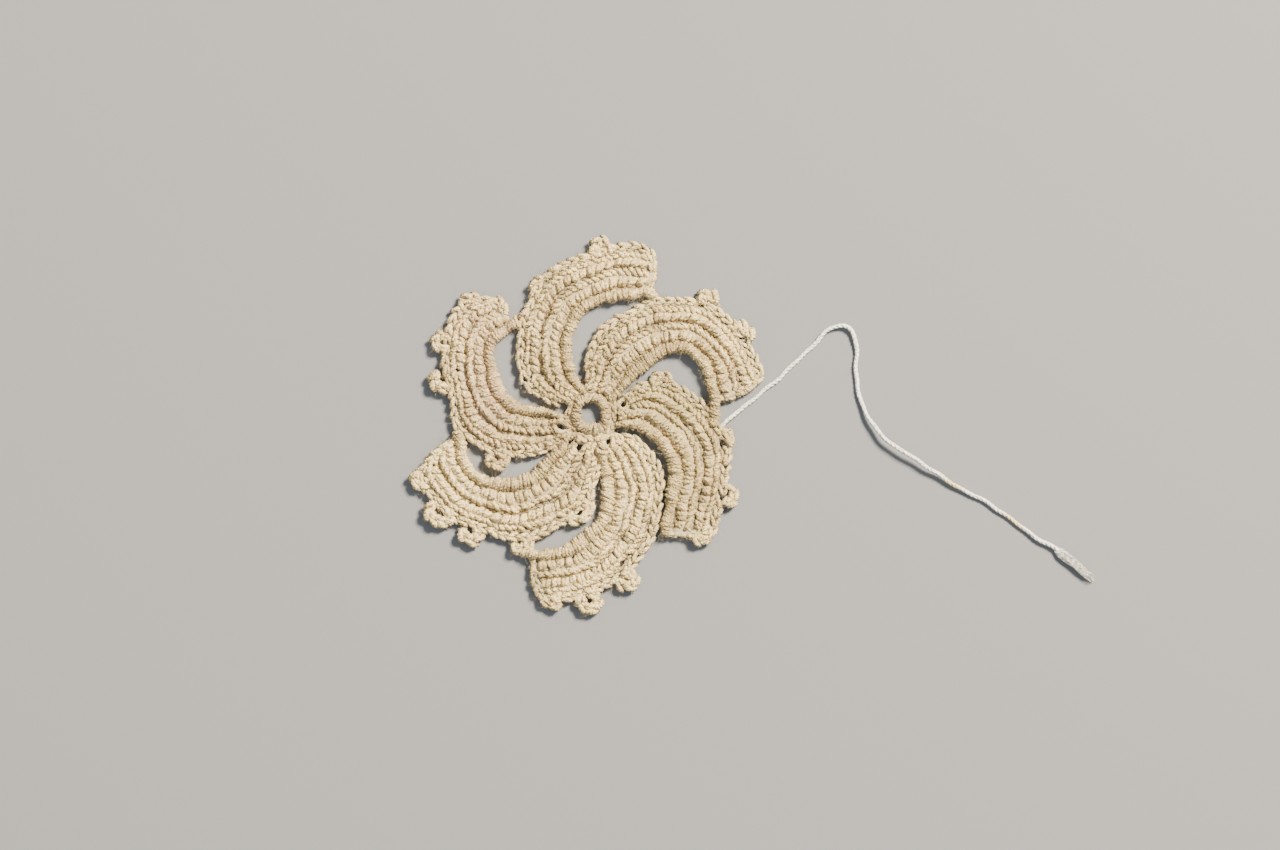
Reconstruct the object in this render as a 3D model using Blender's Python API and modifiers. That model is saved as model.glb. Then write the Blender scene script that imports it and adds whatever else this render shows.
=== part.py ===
"""A crocheted lace sample: six curved blades turning around a small ring, with picots on their
rims and the loose end of the working thread.

The work lies flat on its underside, +Z up. The origin is under the middle of its outline, and the
blade called top points to +Y. Every size in the tables is in millimetres, from the ring's middle.
"""
import math
from collections import namedtuple

import bmesh
import bpy
import numpy as np

MM = 0.001
COLLECTION_NAME = "Crocheted lace sample"

# Driving sizes, in millimetres
RING_AT = (0.42, 1.59)
THREAD_DIAMETER = 0.6
CORD_DIAMETER = 1.7
CORD_MIDDLE_HEIGHT = 0.78
PICOT_MIDDLE_HEIGHT = 0.55
PICOT_TOP_HEIGHT = 1.25
CENTRE_HOLE = (2.2, 2.35)
CENTRE_HOLE_CORNER = 0.5

# How finely the round and curved shapes are stepped
SECTIONS_PER_ROW = 2
CORD_POINTS = 18
CORD_SIDE_STEPS = 2
RING_STEPS = 28
PICOT_SIDES = 9
PICOT_RINGS = 6
TAIL_POINT_SPACING = 1.2

# The pieces of the work reach a little below the surface, no two to the same plane, and are then
# cut off level together, which gives one flat underside.
FIRST_DEPTH = 0.10
DEPTH_STEP = 0.03
CUTTER_SIZE = 80.0

# One row for each fold of the rows of stitches, across a blade from its cord to its rim: its place
# as a share of the blade's width, and the height of the work there.
Course = namedtuple("Course", "share height")
COURSES = [
    Course(0.02, 0.80),
    Course(0.23, 1.05),
    Course(0.31, 1.50),
    Course(0.48, 1.45),
    Course(0.58, 0.90),
    Course(0.66, 1.45),
    Course(0.75, 1.40),
    Course(0.82, 1.10),
    Course(0.89, 1.25),
    Course(0.96, 1.05),
    Course(1.00, 0.60),
]

# The padded ring and the chain around it, as a closed outline: down the outer side, in along the
# underside and up the wall of the hole.
Turn = namedtuple("Turn", "radius height")
RING_OUTLINE = [
    Turn(2.10, 1.75),
    Turn(2.80, 1.50),
    Turn(3.15, 1.00),
    Turn(3.60, 1.25),
    Turn(4.05, 0.80),
    Turn(4.05, -0.31),
    Turn(1.15, -0.31),
    Turn(1.15, 0.90),
    Turn(1.45, 1.50),
]

# One row for each section across a blade, from its root in the ring to its tip: where the outside
# of its padded cord lies, and where its rim lies.
Section = namedtuple("Section", "cord_x cord_y rim_x rim_y")
# The tip of a blade bows out past its last section by tip_bow. The padded cord runs on past the
# tip, through the points in cord_end, into the rim of the next blade.
Blade = namedtuple("Blade", "sections tip_bow cord_end")
BLADES = {
    "top": Blade([
        Section(-0.4, 3.2, -3.1, 1.2),
        Section(-1.3, 4.2, -5.5, 1.3),
        Section(-2.1, 5.9, -8.8, 3.4),
        Section(-2.3, 8.1, -9.8, 6.8),
        Section(-2.2, 10.1, -9.8, 10.3),
        Section(-1.5, 12.1, -8.8, 14.2),
        Section(-0.1, 13.4, -6.0, 18.6),
        Section(1.7, 14.2, -2.1, 20.5),
        Section(3.6, 14.7, 1.7, 22.0),
        Section(5.6, 14.9, 5.6, 22.4),
        Section(7.4, 15.2, 8.4, 21.6),
    ], 0.65, [(8.4, 14.9)]),
    "upper_right": Blade([
        Section(3.0, 1.7, -1.0, 3.1),
        Section(4.9, 3.6, -1.0, 5.6),
        Section(6.6, 5.2, -0.5, 9.0),
        Section(8.1, 6.4, 1.3, 11.7),
        Section(9.5, 7.4, 4.3, 13.5),
        Section(11.1, 7.9, 7.9, 15.1),
        Section(12.6, 7.5, 12.9, 15.3),
        Section(13.9, 6.5, 16.8, 13.9),
        Section(14.8, 4.9, 19.9, 10.7),
        Section(15.1, 3.1, 22.0, 7.3),
        Section(15.3, 1.4, 22.8, 4.9),
    ], 1.0, [(16.0, 0.0), (15.9, -1.6)]),
    "right": Blade([
        Section(3.2, -1.8, 3.8, 1.3),
        Section(4.3, -1.8, 4.5, 2.7),
        Section(5.7, -2.1, 6.9, 4.5),
        Section(7.3, -2.9, 10.1, 4.5),
        Section(8.7, -4.2, 13.1, 3.0),
        Section(9.6, -5.9, 16.2, -0.1),
        Section(10.0, -7.5, 18.1, -3.1),
        Section(10.0, -9.4, 18.2, -6.4),
        Section(9.6, -11.3, 17.8, -9.6),
        Section(9.1, -13.4, 17.2, -12.7),
        Section(8.9, -15.6, 16.0, -16.2),
    ], 0.4, [(9.6, -16.5)]),
    "bottom": Blade([
        Section(1.2, -3.4, 1.8, -2.7),
        Section(1.2, -5.6, 4.2, -2.5),
        Section(1.3, -7.9, 6.8, -3.4),
        Section(1.4, -10.0, 8.7, -5.5),
        Section(1.3, -11.8, 10.1, -8.2),
        Section(0.8, -13.7, 9.6, -11.3),
        Section(-0.4, -15.1, 8.9, -14.8),
        Section(-2.0, -16.2, 6.8, -18.6),
        Section(-3.8, -17.3, 4.0, -21.8),
        Section(-5.7, -17.6, -0.4, -23.8),
        Section(-7.7, -17.4, -6.2, -25.0),
    ], 1.0, [(-8.9, -17.9)]),
    "lower_left": Blade([
        Section(-2.5, -2.7, 0.9, -3.5),
        Section(-4.5, -4.2, 1.5, -6.3),
        Section(-6.5, -5.9, 0.8, -9.4),
        Section(-7.8, -7.2, 0.0, -12.6),
        Section(-9.6, -8.0, -3.8, -14.7),
        Section(-11.7, -8.3, -8.3, -16.8),
        Section(-13.7, -7.9, -13.5, -15.7),
        Section(-15.2, -6.8, -18.1, -13.9),
        Section(-16.1, -5.2, -21.3, -10.8),
        Section(-16.2, -3.9, -22.8, -8.6),
        Section(-16.6, -2.9, -21.6, -6.2),
    ], 0.8, [(-17.4, -2.2)]),
    "left": Blade([
        Section(-3.2, -0.1, -2.3, -2.5),
        Section(-5.6, 0.7, -5.1, -4.7),
        Section(-7.8, 1.2, -9.1, -5.9),
        Section(-9.8, 2.0, -13.5, -5.1),
        Section(-11.2, 3.5, -17.6, -2.5),
        Section(-12.1, 5.5, -18.3, 1.2),
        Section(-12.5, 7.3, -19.3, 4.9),
        Section(-12.3, 9.1, -19.5, 8.3),
        Section(-11.6, 9.9, -18.7, 12.2),
        Section(-10.8, 10.4, -17.0, 14.7),
        Section(-9.8, 11.1, -12.9, 15.3),
    ], 0.3, [(-9.2, 11.9)]),
}

# One row for each picot, a small knotted loop on a rim: its middle, its size along and across its
# length, and the turn of its length from +X.
Picot = namedtuple("Picot", "x y length breadth turn_deg")
PICOTS = [
    Picot(-7.0, 17.0, 2.9, 1.7, 52),
    Picot(1.2, 21.8, 3.5, 2.9, 10),
    Picot(15.3, 15.0, 3.6, 2.2, -12),
    Picot(20.0, 10.7, 3.9, 2.1, -52),
    Picot(9.2, 4.7, 3.4, 1.7, -8),
    Picot(17.9, -3.1, 3.5, 1.8, -75),
    Picot(18.2, -10.7, 3.5, 2.0, 72),
    Picot(14.4, -16.2, 3.1, 1.8, 0),
    Picot(4.9, -21.6, 3.4, 2.9, 55),
    Picot(-0.1, -24.7, 3.5, 3.4, 20),
    Picot(-5.2, -24.4, 3.4, 2.3, 0),
    Picot(-1.2, -13.0, 4.2, 2.6, 45),
    Picot(-9.2, -17.4, 3.0, 2.5, 20),
    Picot(-15.6, -15.9, 3.8, 2.7, 5),
    Picot(-19.9, -13.3, 4.4, 3.1, -25),
    Picot(-22.2, -8.6, 3.1, 2.3, -35),
    Picot(-12.2, -6.2, 3.6, 2.7, 5),
    Picot(-19.9, 4.0, 3.9, 2.5, -55),
    Picot(-19.8, 9.5, 3.1, 2.3, 80),
    Picot(-15.7, 15.1, 3.9, 1.8, 8),
    Picot(-11.8, 14.0, 3.4, 2.1, -45),
]

# The loose thread's route, from beside the rim of the right blade to its cut end: the middle of
# the thread, and its height where it lies on the surface or bows up a little.
Point = namedtuple("Point", "x y height")
TAIL_ROUTE = [
    Point(17.9, -0.8, 0.75),
    Point(19.4, 0.6, 0.45),
    Point(22.0, 2.7, 0.33),
    Point(24.6, 4.8, 0.33),
    Point(27.2, 7.3, 0.35),
    Point(29.8, 10.0, 0.45),
    Point(31.1, 11.1, 0.55),
    Point(32.4, 11.5, 0.60),
    Point(33.4, 11.2, 0.55),
    Point(34.1, 10.2, 0.45),
    Point(34.5, 8.0, 0.35),
    Point(34.5, 5.4, 0.34),
    Point(34.7, 3.0, 0.35),
    Point(35.4, 0.8, 0.55),
    Point(36.8, -1.7, 0.90),
    Point(38.9, -3.7, 1.10),
    Point(41.5, -5.5, 1.10),
    Point(44.1, -7.2, 0.85),
    Point(46.7, -8.9, 0.55),
    Point(50.0, -10.7, 0.35),
    Point(53.2, -12.7, 0.34),
    Point(56.4, -15.0, 0.35),
    Point(58.3, -16.3, 0.42),
    Point(60.2, -17.5, 0.50),
    Point(61.8, -18.7, 0.60),
    Point(63.6, -20.1, 0.62),
    Point(65.4, -21.8, 0.48),
]

# The cut end of the thread has come open into a tuft of fibres. Along the tuft's length, as a
# share of it, this is how many thread diameters thick it is.
TUFT_LENGTH = 6.9
Swell = namedtuple("Swell", "share thickness")
TUFT = [
    Swell(0.00, 1.00),
    Swell(0.20, 1.70),
    Swell(0.45, 1.90),
    Swell(0.80, 1.50),
    Swell(1.00, 0.90),
]

MATERIALS = {
    "motif": (0.72, 0.60, 0.42),
    "thread_tail": (0.80, 0.74, 0.64),
}
YARN_ROUGHNESS = 0.9


def clear_scene():
    """Take every object out of the scene."""
    for obj in list(bpy.data.objects):
        bpy.data.objects.remove(obj, do_unlink=True)


def new_collection(name):
    """A collection under the scene's own."""
    collection = bpy.data.collections.new(name)
    bpy.context.scene.collection.children.link(collection)
    return collection


def yarn_material(name):
    """Matt cotton in the piece's own colour."""
    material = bpy.data.materials.new(name)
    material.use_nodes = True
    shader = material.node_tree.nodes["Principled BSDF"]
    shader.inputs["Base Color"].default_value = (*MATERIALS[name], 1.0)
    shader.inputs["Roughness"].default_value = YARN_ROUGHNESS
    shader.inputs["Metallic"].default_value = 0.0
    return material


def smooth_curve(points, count):
    """A smooth curve through the points, of any number of coordinates, read at count places.

    Between two points it is the cubic that also heeds the point before and the point after.
    """
    points = np.array(points, dtype=float)
    ends = np.vstack([2 * points[0] - points[1], points, 2 * points[-1] - points[-2]])
    place = np.linspace(0, len(points) - 1, count)
    start = np.minimum(place.astype(int), len(points) - 2)
    t = (place - start)[:, None]
    before, first, second, after = (ends[start + step] for step in range(4))
    return 0.5 * (2 * first + (second - before) * t
                  + (2 * before - 5 * first + 4 * second - after) * t ** 2
                  + (3 * first - before - 3 * second + after) * t ** 3)


def even_curve(points, count):
    """The same smooth curve, read at places the same length apart."""
    fine = smooth_curve(points, 40 * len(points))
    walked = np.concatenate([[0], np.cumsum(np.linalg.norm(np.diff(fine, axis=0), axis=1))])
    places = np.linspace(0, walked[-1], count)
    return np.column_stack([np.interp(places, walked, column) for column in fine.T])


def placed(x, y):
    """A place in the tables, in metres from the origin."""
    return (x + RING_AT[0]) * MM, (y + RING_AT[1]) * MM


def mesh_object(name, bm, collection):
    """A new object from a bmesh, with its faces pointing outwards."""
    bmesh.ops.recalc_face_normals(bm, faces=bm.faces)
    mesh = bpy.data.meshes.new(name)
    bm.to_mesh(mesh)
    bm.free()
    obj = bpy.data.objects.new(name, mesh)
    collection.objects.link(obj)
    return obj


def blade_sections(blade):
    """Where the cord and the rim lie at each section, with the sections between the table's rows."""
    count = (len(blade.sections) - 1) * SECTIONS_PER_ROW + 1
    return smooth_curve(blade.sections, count)


def make_blade(name, blade, depth, collection):
    """The rows of stitches of one blade, lofted through its sections."""
    ends = blade_sections(blade)
    cord, rim = ends[:, :2], ends[:, 2:]
    share = np.array([course.share for course in COURSES])
    points = cord[:, None, :] * (1 - share)[None, :, None] + rim[:, None, :] * share[None, :, None]
    onward = points[-1] - points[-2]
    onward /= np.linalg.norm(onward, axis=1)[:, None]
    points[-1] += onward * (blade.tip_bow * np.sin(np.pi * share))[:, None]

    bm = bmesh.new()
    rings = []
    for row in points:
        upper = [(*placed(x, y), course.height * MM) for (x, y), course in zip(row, COURSES)]
        under = [(x, y, -depth * MM) for x, y, height in reversed(upper)]
        rings.append([bm.verts.new(point) for point in upper + under])
    for ring, next_ring in zip(rings, rings[1:]):
        for side in range(len(ring)):
            after = (side + 1) % len(ring)
            bm.faces.new((ring[side], ring[after], next_ring[after], next_ring[side]))
    for ring in (rings[0], rings[-1]):
        for side in range(len(COURSES) - 1):
            bm.faces.new((ring[side], ring[side + 1], ring[-side - 2], ring[-side - 1]))
    bmesh.ops.triangulate(bm, faces=bm.faces)
    return mesh_object(name, bm, collection)


def tube(name, points, radius, side_steps, collection):
    """A round tube with closed ends along the points, which are in metres."""
    curve = bpy.data.curves.new(name, "CURVE")
    curve.dimensions = "3D"
    curve.bevel_depth = radius
    curve.bevel_resolution = side_steps
    curve.use_fill_caps = True
    spline = curve.splines.new("POLY")
    spline.points.add(len(points) - 1)
    for place, point in zip(spline.points, points):
        place.co = (*point, 1.0)
    obj = bpy.data.objects.new(name, curve)
    collection.objects.link(obj)
    return obj


def curve_to_mesh(obj, collection):
    """The curve's evaluated mesh as an object of its own, with its caps welded on."""
    bpy.context.view_layer.update()
    evaluated = obj.evaluated_get(bpy.context.evaluated_depsgraph_get())
    mesh = bpy.data.meshes.new_from_object(evaluated)
    bm = bmesh.new()
    bm.from_mesh(mesh)
    bpy.data.meshes.remove(mesh)
    bmesh.ops.remove_doubles(bm, verts=bm.verts, dist=0.01 * MM)
    name, matrix = obj.name, obj.matrix_world.copy()
    bpy.data.objects.remove(obj, do_unlink=True)
    solid = mesh_object(name, bm, collection)
    solid.matrix_world = matrix
    return solid


def make_padded_cord(name, blade, collection):
    """The thick cord along a blade's inner edge, which ends in the rim of the next blade."""
    ends = blade_sections(blade)
    inward = ends[:, 2:] - ends[:, :2]
    inward /= np.linalg.norm(inward, axis=1)[:, None]
    middle = ends[:, :2] + inward * CORD_DIAMETER / 2
    route = even_curve(np.vstack([middle, blade.cord_end]), CORD_POINTS)
    points = [(*placed(x, y), CORD_MIDDLE_HEIGHT * MM) for x, y in route]
    cord = tube(name, points, CORD_DIAMETER / 2 * MM, CORD_SIDE_STEPS, collection)
    return curve_to_mesh(cord, collection)


def make_picot(name, picot, collection):
    """One picot as a small flattened lump across the rim."""
    bm = bmesh.new()
    bmesh.ops.create_uvsphere(bm, u_segments=PICOT_SIDES, v_segments=PICOT_RINGS, radius=1.0)
    half_height = PICOT_TOP_HEIGHT - PICOT_MIDDLE_HEIGHT
    bmesh.ops.scale(bm, vec=(picot.length / 2 * MM, picot.breadth / 2 * MM, half_height * MM), verts=bm.verts)
    obj = mesh_object(name, bm, collection)
    obj.location = (*placed(picot.x, picot.y), PICOT_MIDDLE_HEIGHT * MM)
    obj.rotation_euler = (0, 0, math.radians(picot.turn_deg))
    return obj


def make_ring(name, collection):
    """The padded ring and its chain, an outline turned around the ring's middle."""
    mesh = bpy.data.meshes.new(name)
    points = [(turn.radius * MM, 0, turn.height * MM) for turn in RING_OUTLINE]
    edges = [(i, (i + 1) % len(points)) for i in range(len(points))]
    mesh.from_pydata(points, edges, [])
    ring = bpy.data.objects.new(name, mesh)
    collection.objects.link(ring)
    ring.location = (*placed(0, 0), 0)
    screw = ring.modifiers.new("turned", "SCREW")
    screw.steps = RING_STEPS
    screw.render_steps = RING_STEPS
    screw.use_merge_vertices = True
    screw.merge_threshold = 0.00005
    screw.use_normal_calculate = True
    return ring


def make_box(name, size, middle, collection):
    """A box of the given size in millimetres around a middle in metres."""
    bm = bmesh.new()
    bmesh.ops.create_cube(bm, size=1.0)
    bmesh.ops.scale(bm, vec=[side * MM for side in size], verts=bm.verts)
    box = mesh_object(name, bm, collection)
    box.location = middle
    return box


def as_cutter(obj):
    """Keep an object out of the model: it only shapes another."""
    obj.hide_render = True
    obj.display_type = "WIRE"


def combine(target, operation, name, other):
    """An exact Boolean modifier on the target, with an object or a whole collection."""
    modifier = target.modifiers.new(name, "BOOLEAN")
    modifier.solver = "EXACT"
    modifier.operation = operation
    if isinstance(other, bpy.types.Collection):
        modifier.operand_type = "COLLECTION"
        modifier.collection = other
    else:
        modifier.object = other


def make_motif(collection, pieces, cutters):
    """The whole crocheted motif: ring, blades, cords and picots joined in one body."""
    for index, (name, blade) in enumerate(BLADES.items()):
        as_cutter(make_blade(f"blade_{name}", blade, FIRST_DEPTH + index * DEPTH_STEP, pieces))
        as_cutter(make_padded_cord(f"cord_{name}", blade, pieces))
    for index, picot in enumerate(PICOTS):
        as_cutter(make_picot(f"picot_{index:02}", picot, pieces))

    hole = make_box("centre_hole", (*CENTRE_HOLE, 6.0), (*placed(0, 0), 0), cutters)
    corners = hole.modifiers.new("round_corners", "BEVEL")
    corners.width = CENTRE_HOLE_CORNER * MM
    corners.segments = 2
    as_cutter(hole)
    below = make_box("below_surface", (CUTTER_SIZE, CUTTER_SIZE, 2.0), (0, 0, -1.0 * MM), cutters)
    as_cutter(below)

    motif = make_ring("motif", collection)
    combine(motif, "UNION", "blades_and_picots", pieces)
    combine(motif, "DIFFERENCE", "centre_hole", hole)
    combine(motif, "DIFFERENCE", "flat_underside", below)
    motif.data.materials.append(yarn_material("motif"))
    return motif


def make_tail(collection):
    """The loose end of the working thread beside the motif, swollen where its cut end is open."""
    route = [(*placed(point.x, point.y), point.height * MM) for point in TAIL_ROUTE]
    length = np.linalg.norm(np.diff(smooth_curve(route, 500), axis=0), axis=1).sum()
    count = int(length / (TAIL_POINT_SPACING * MM)) + 1
    tail = tube("thread_tail", even_curve(route, count), THREAD_DIAMETER / 2 * MM, 2, collection)
    share = 1 - np.linspace(length, 0, count) / (TUFT_LENGTH * MM)
    swelling = np.interp(share, [swell.share for swell in TUFT], [swell.thickness for swell in TUFT])
    for place, thickness in zip(tail.data.splines[0].points, swelling):
        place.radius = thickness
    tail.data.materials.append(yarn_material("thread_tail"))
    return tail


def main():
    clear_scene()
    collection = new_collection(COLLECTION_NAME)
    pieces = new_collection("Pieces of the motif")
    cutters = new_collection("Cutters")
    make_motif(collection, pieces, cutters)
    make_tail(collection)


main()
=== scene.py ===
# %% [markdown]
# # A crocheted lace sample, stitch by stitch
# Real crochet is one long thread. Each blade of this pinwheel motif is a few rows of single
# crochet over a padded cord, and the rims carry picots, which are small knotted loops. The packed
# model is the frame: it gives the size and the place of the work, and the pieces made here are laid
# on it. They are built as thread, because the light between the strands is what makes crochet look
# like crochet.

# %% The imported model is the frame
import math
from collections import namedtuple

import bpy
import numpy as np
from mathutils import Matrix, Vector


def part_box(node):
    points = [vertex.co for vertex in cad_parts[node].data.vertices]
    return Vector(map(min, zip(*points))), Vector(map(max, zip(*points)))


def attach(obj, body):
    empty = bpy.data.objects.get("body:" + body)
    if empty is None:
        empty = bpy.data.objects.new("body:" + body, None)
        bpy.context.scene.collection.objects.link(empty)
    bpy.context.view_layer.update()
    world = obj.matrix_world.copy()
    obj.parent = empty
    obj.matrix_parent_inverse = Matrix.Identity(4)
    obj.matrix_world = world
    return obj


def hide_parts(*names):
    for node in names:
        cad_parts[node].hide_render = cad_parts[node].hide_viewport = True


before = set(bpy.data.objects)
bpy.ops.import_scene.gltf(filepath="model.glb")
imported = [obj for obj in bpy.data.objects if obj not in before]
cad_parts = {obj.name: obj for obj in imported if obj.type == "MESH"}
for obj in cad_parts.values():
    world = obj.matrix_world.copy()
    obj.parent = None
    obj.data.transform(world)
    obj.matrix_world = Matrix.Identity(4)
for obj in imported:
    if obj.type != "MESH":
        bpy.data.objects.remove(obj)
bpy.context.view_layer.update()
motif_low, motif_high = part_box("motif")
print("motif, in millimetres:", [round(1000 * side, 1) for side in motif_high - motif_low])

# %% [markdown]
# ## Driving sizes
# Thread work is measured in millimetres, so the tables and the formulas below are in millimetres
# too, and a mesh is brought to metres when it is made. `RING_AT` is the middle of the little ring,
# seen from the origin, which lies under the middle of the whole outline.

# %% Driving sizes
MM = 0.001
RING_AT = np.array([0.42, 1.59])
THREAD_RADIUS = 0.29
STITCH_PITCH = 1.18
WRAP_PITCH = 0.39
PHOTO_WIDTH_MM = 166.4
PHOTO_MIDDLE = RING_AT + np.array([6.37, -1.43])
print("a stitch is as wide as", round(STITCH_PITCH / THREAD_RADIUS / 2, 1), "threads")

# %% [markdown]
# ## The camera
# The photograph looks straight down on the work from far away. A long lens does the same: it keeps
# the blades at one scale, with no leaning sides.

# %% The camera
CAMERA_HEIGHT = 0.70
SENSOR_WIDTH_MM = 36.0


def make_camera():
    """A camera straight above the middle of the picture, whose view is as wide as the photo's."""
    data = bpy.data.cameras.new("camera")
    data.sensor_width = SENSOR_WIDTH_MM
    data.lens = SENSOR_WIDTH_MM * CAMERA_HEIGHT / (PHOTO_WIDTH_MM * MM)
    data.clip_start, data.clip_end = 0.01, 10.0
    camera = bpy.data.objects.new("camera", data)
    camera.location = (*(PHOTO_MIDDLE * MM), CAMERA_HEIGHT)
    bpy.context.scene.collection.objects.link(camera)
    bpy.context.scene.camera = camera
    return camera


camera = make_camera()
print("lens", round(camera.data.lens, 1), "mm")

# %% [markdown]
# ## Curves and lines
# Everything in crochet follows a line: a row, a rim, a ring. `smooth_curve` turns a few chosen
# points into a smooth curve. A `Line` keeps such a curve with the direction that points outwards
# from it and the length walked so far, so that a stitch can be placed by how far along it is, how
# far to the side and how high.

# %% Curves and lines
Line = namedtuple("Line", "points outward walked closed")


def smooth_curve(points, count):
    """A curve through the points, read at count places.

    Between two points it is the cubic that also heeds the point before and the point after.
    """
    points = np.array(points, dtype=float)
    ends = np.vstack([2 * points[0] - points[1], points, 2 * points[-1] - points[-2]])
    place = np.linspace(0, len(points) - 1, count)
    start = np.minimum(place.astype(int), len(points) - 2)
    t = (place - start)[:, None]
    before, first, second, after = (ends[start + step] for step in range(4))
    return 0.5 * (2 * first + (second - before) * t
                  + (2 * before - 5 * first + 4 * second - after) * t ** 2
                  + (3 * first - before - 3 * second + after) * t ** 3)


def unit(vectors):
    """Each vector divided by its own length."""
    return vectors / np.linalg.norm(vectors, axis=1)[:, None]


def walked_along(points):
    """The length of the curve up to each of its points."""
    return np.concatenate([[0], np.cumsum(np.linalg.norm(np.diff(points, axis=0), axis=1))])


def line_through(points, closed=False):
    """A line whose outward side is to the left of the way it runs: (-y, x) of its direction (x, y)."""
    points = np.array(points, dtype=float)
    if closed:
        direction = np.roll(points, -1, axis=0) - np.roll(points, 1, axis=0)
        points, direction = np.vstack([points, points[:1]]), np.vstack([direction, direction[:1]])
    else:
        direction = np.gradient(points, axis=0)
    direction = unit(direction)
    outward = np.column_stack([-direction[:, 1], direction[:, 0]])
    return Line(points, outward, walked_along(points), closed)


def on_line(line, along, across, height):
    """The point of the line at the length along, moved outwards by across and up by height."""
    period = line.walked[-1] if line.closed else None
    points = [np.interp(along, line.walked, column, period=period) for column in line.points.T]
    outward = [np.interp(along, line.walked, column, period=period) for column in line.outward.T]
    return np.column_stack([points[0] + outward[0] * across, points[1] + outward[1] * across, height])


# %% [markdown]
# ## How handwork settles
# A hand pulls some stitches tighter than others, so a row never runs quite true. `settled` moves
# every point a little, by a smooth field, so that rows side by side move together. The field is a
# sum of long waves over the work, one row of a table for each wave. It also parts the threads at
# the pinholes that show in the photograph: a thread near a pinhole bends round it.

# %% How handwork settles
PULL_MM = 0.10
PULL_X = [(1.0, 0.6, 1.1, 1.0), (0.6, -1.2, 2.3, 0.0)]
PULL_Y = [(1.0, 0.9, -0.5, 2.0), (0.6, 2.1, 1.5, 4.0)]
LUMP_SHARE = 0.06
LUMPS = [(1.0, 2.9, 1.3, 0.0), (1.0, -1.6, 3.7, 2.0), (1.0, 1.3, 0.9, 1.0)]
BEND_REACH = 1.8
NEAREST_MM = 0.02
Pinhole = namedtuple("Pinhole", "x y size")
PINHOLES = [Pinhole(*row) for row in [
    (-5.9, 17.1, 0.26), (-3.8, 15.7, 0.18), (-8.0, 11.3, 0.24), (-8.5, 4.4, 0.34), (-7.7, 4.8, 0.28),
    (1.4, 10.1, 0.28), (14.3, 14.0, 0.30), (19.8, 9.7, 0.34), (4.2, 1.2, 0.48), (17.1, -3.9, 0.42),
    (16.9, -10.9, 0.26), (10.9, -3.1, 0.26), (1.4, -4.8, 0.42), (2.2, -3.6, 0.48), (-1.5, -12.8, 0.42),
    (3.4, -9.2, 0.18), (3.0, -11.9, 0.16), (4.0, -19.4, 0.36), (-5.3, -20.1, 0.30), (0.9, -16.2, 0.26),
    (-2.2, -18.4, 0.26), (-8.5, -14.7, 0.28), (-20.6, -6.7, 0.22), (-3.5, 1.1, 0.44), (-3.9, -1.75, 0.50),
    (-2.5, -3.9, 0.48), (-1.6, -4.3, 0.42), (-17.3, 5.9, 0.26),
]]


def waves(points, table):
    """The sum of share * sin(a * x + b * y + start) over the table's rows (share, a, b, start)."""
    x, y = points[:, 0], points[:, 1]
    return sum(share * np.sin(a * x + b * y + start) for share, a, b, start in table)


def pulled(points):
    """Each point moved by pull * waves, in x and in y."""
    moved = points.copy()
    moved[:, 0] += PULL_MM * waves(points, PULL_X)
    moved[:, 1] += PULL_MM * waves(points, PULL_Y)
    return moved


def parted(points):
    """Each point moved away from every pinhole by size * exp(-(distance / (reach * size)) squared)."""
    moved = points.copy()
    for hole in PINHOLES:
        away = moved[:, :2] - (RING_AT + [hole.x, hole.y])
        distance = np.maximum(np.linalg.norm(away, axis=1), NEAREST_MM)[:, None]
        near = np.exp(-(distance / (BEND_REACH * hole.size)) ** 2)
        moved[:, :2] += away / distance * hole.size * near
    return moved


def settled(points):
    """Points moved by the hand's pull and out of the pinholes, each height times 1 + share * waves."""
    moved = parted(pulled(points))
    moved[:, 2] *= 1 + LUMP_SHARE * waves(points, LUMPS)
    return moved


def pinhole_distance(points):
    """How far each point is from the nearest pinhole."""
    middles = np.array([RING_AT + [hole.x, hole.y] for hole in PINHOLES])
    return np.linalg.norm(points[:, None, :2] - middles[None], axis=2).min(axis=1)


# %% [markdown]
# ## How the cotton has aged
# The sample has bleached towards its tips and yellowed around its ring. Each row of the table is
# one soft spot: its middle, how far it reaches, how much paler it makes the thread, and its tint,
# from pink at -1 to gold at 1. The last two spots are yellow stretches of the loose thread.

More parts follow.
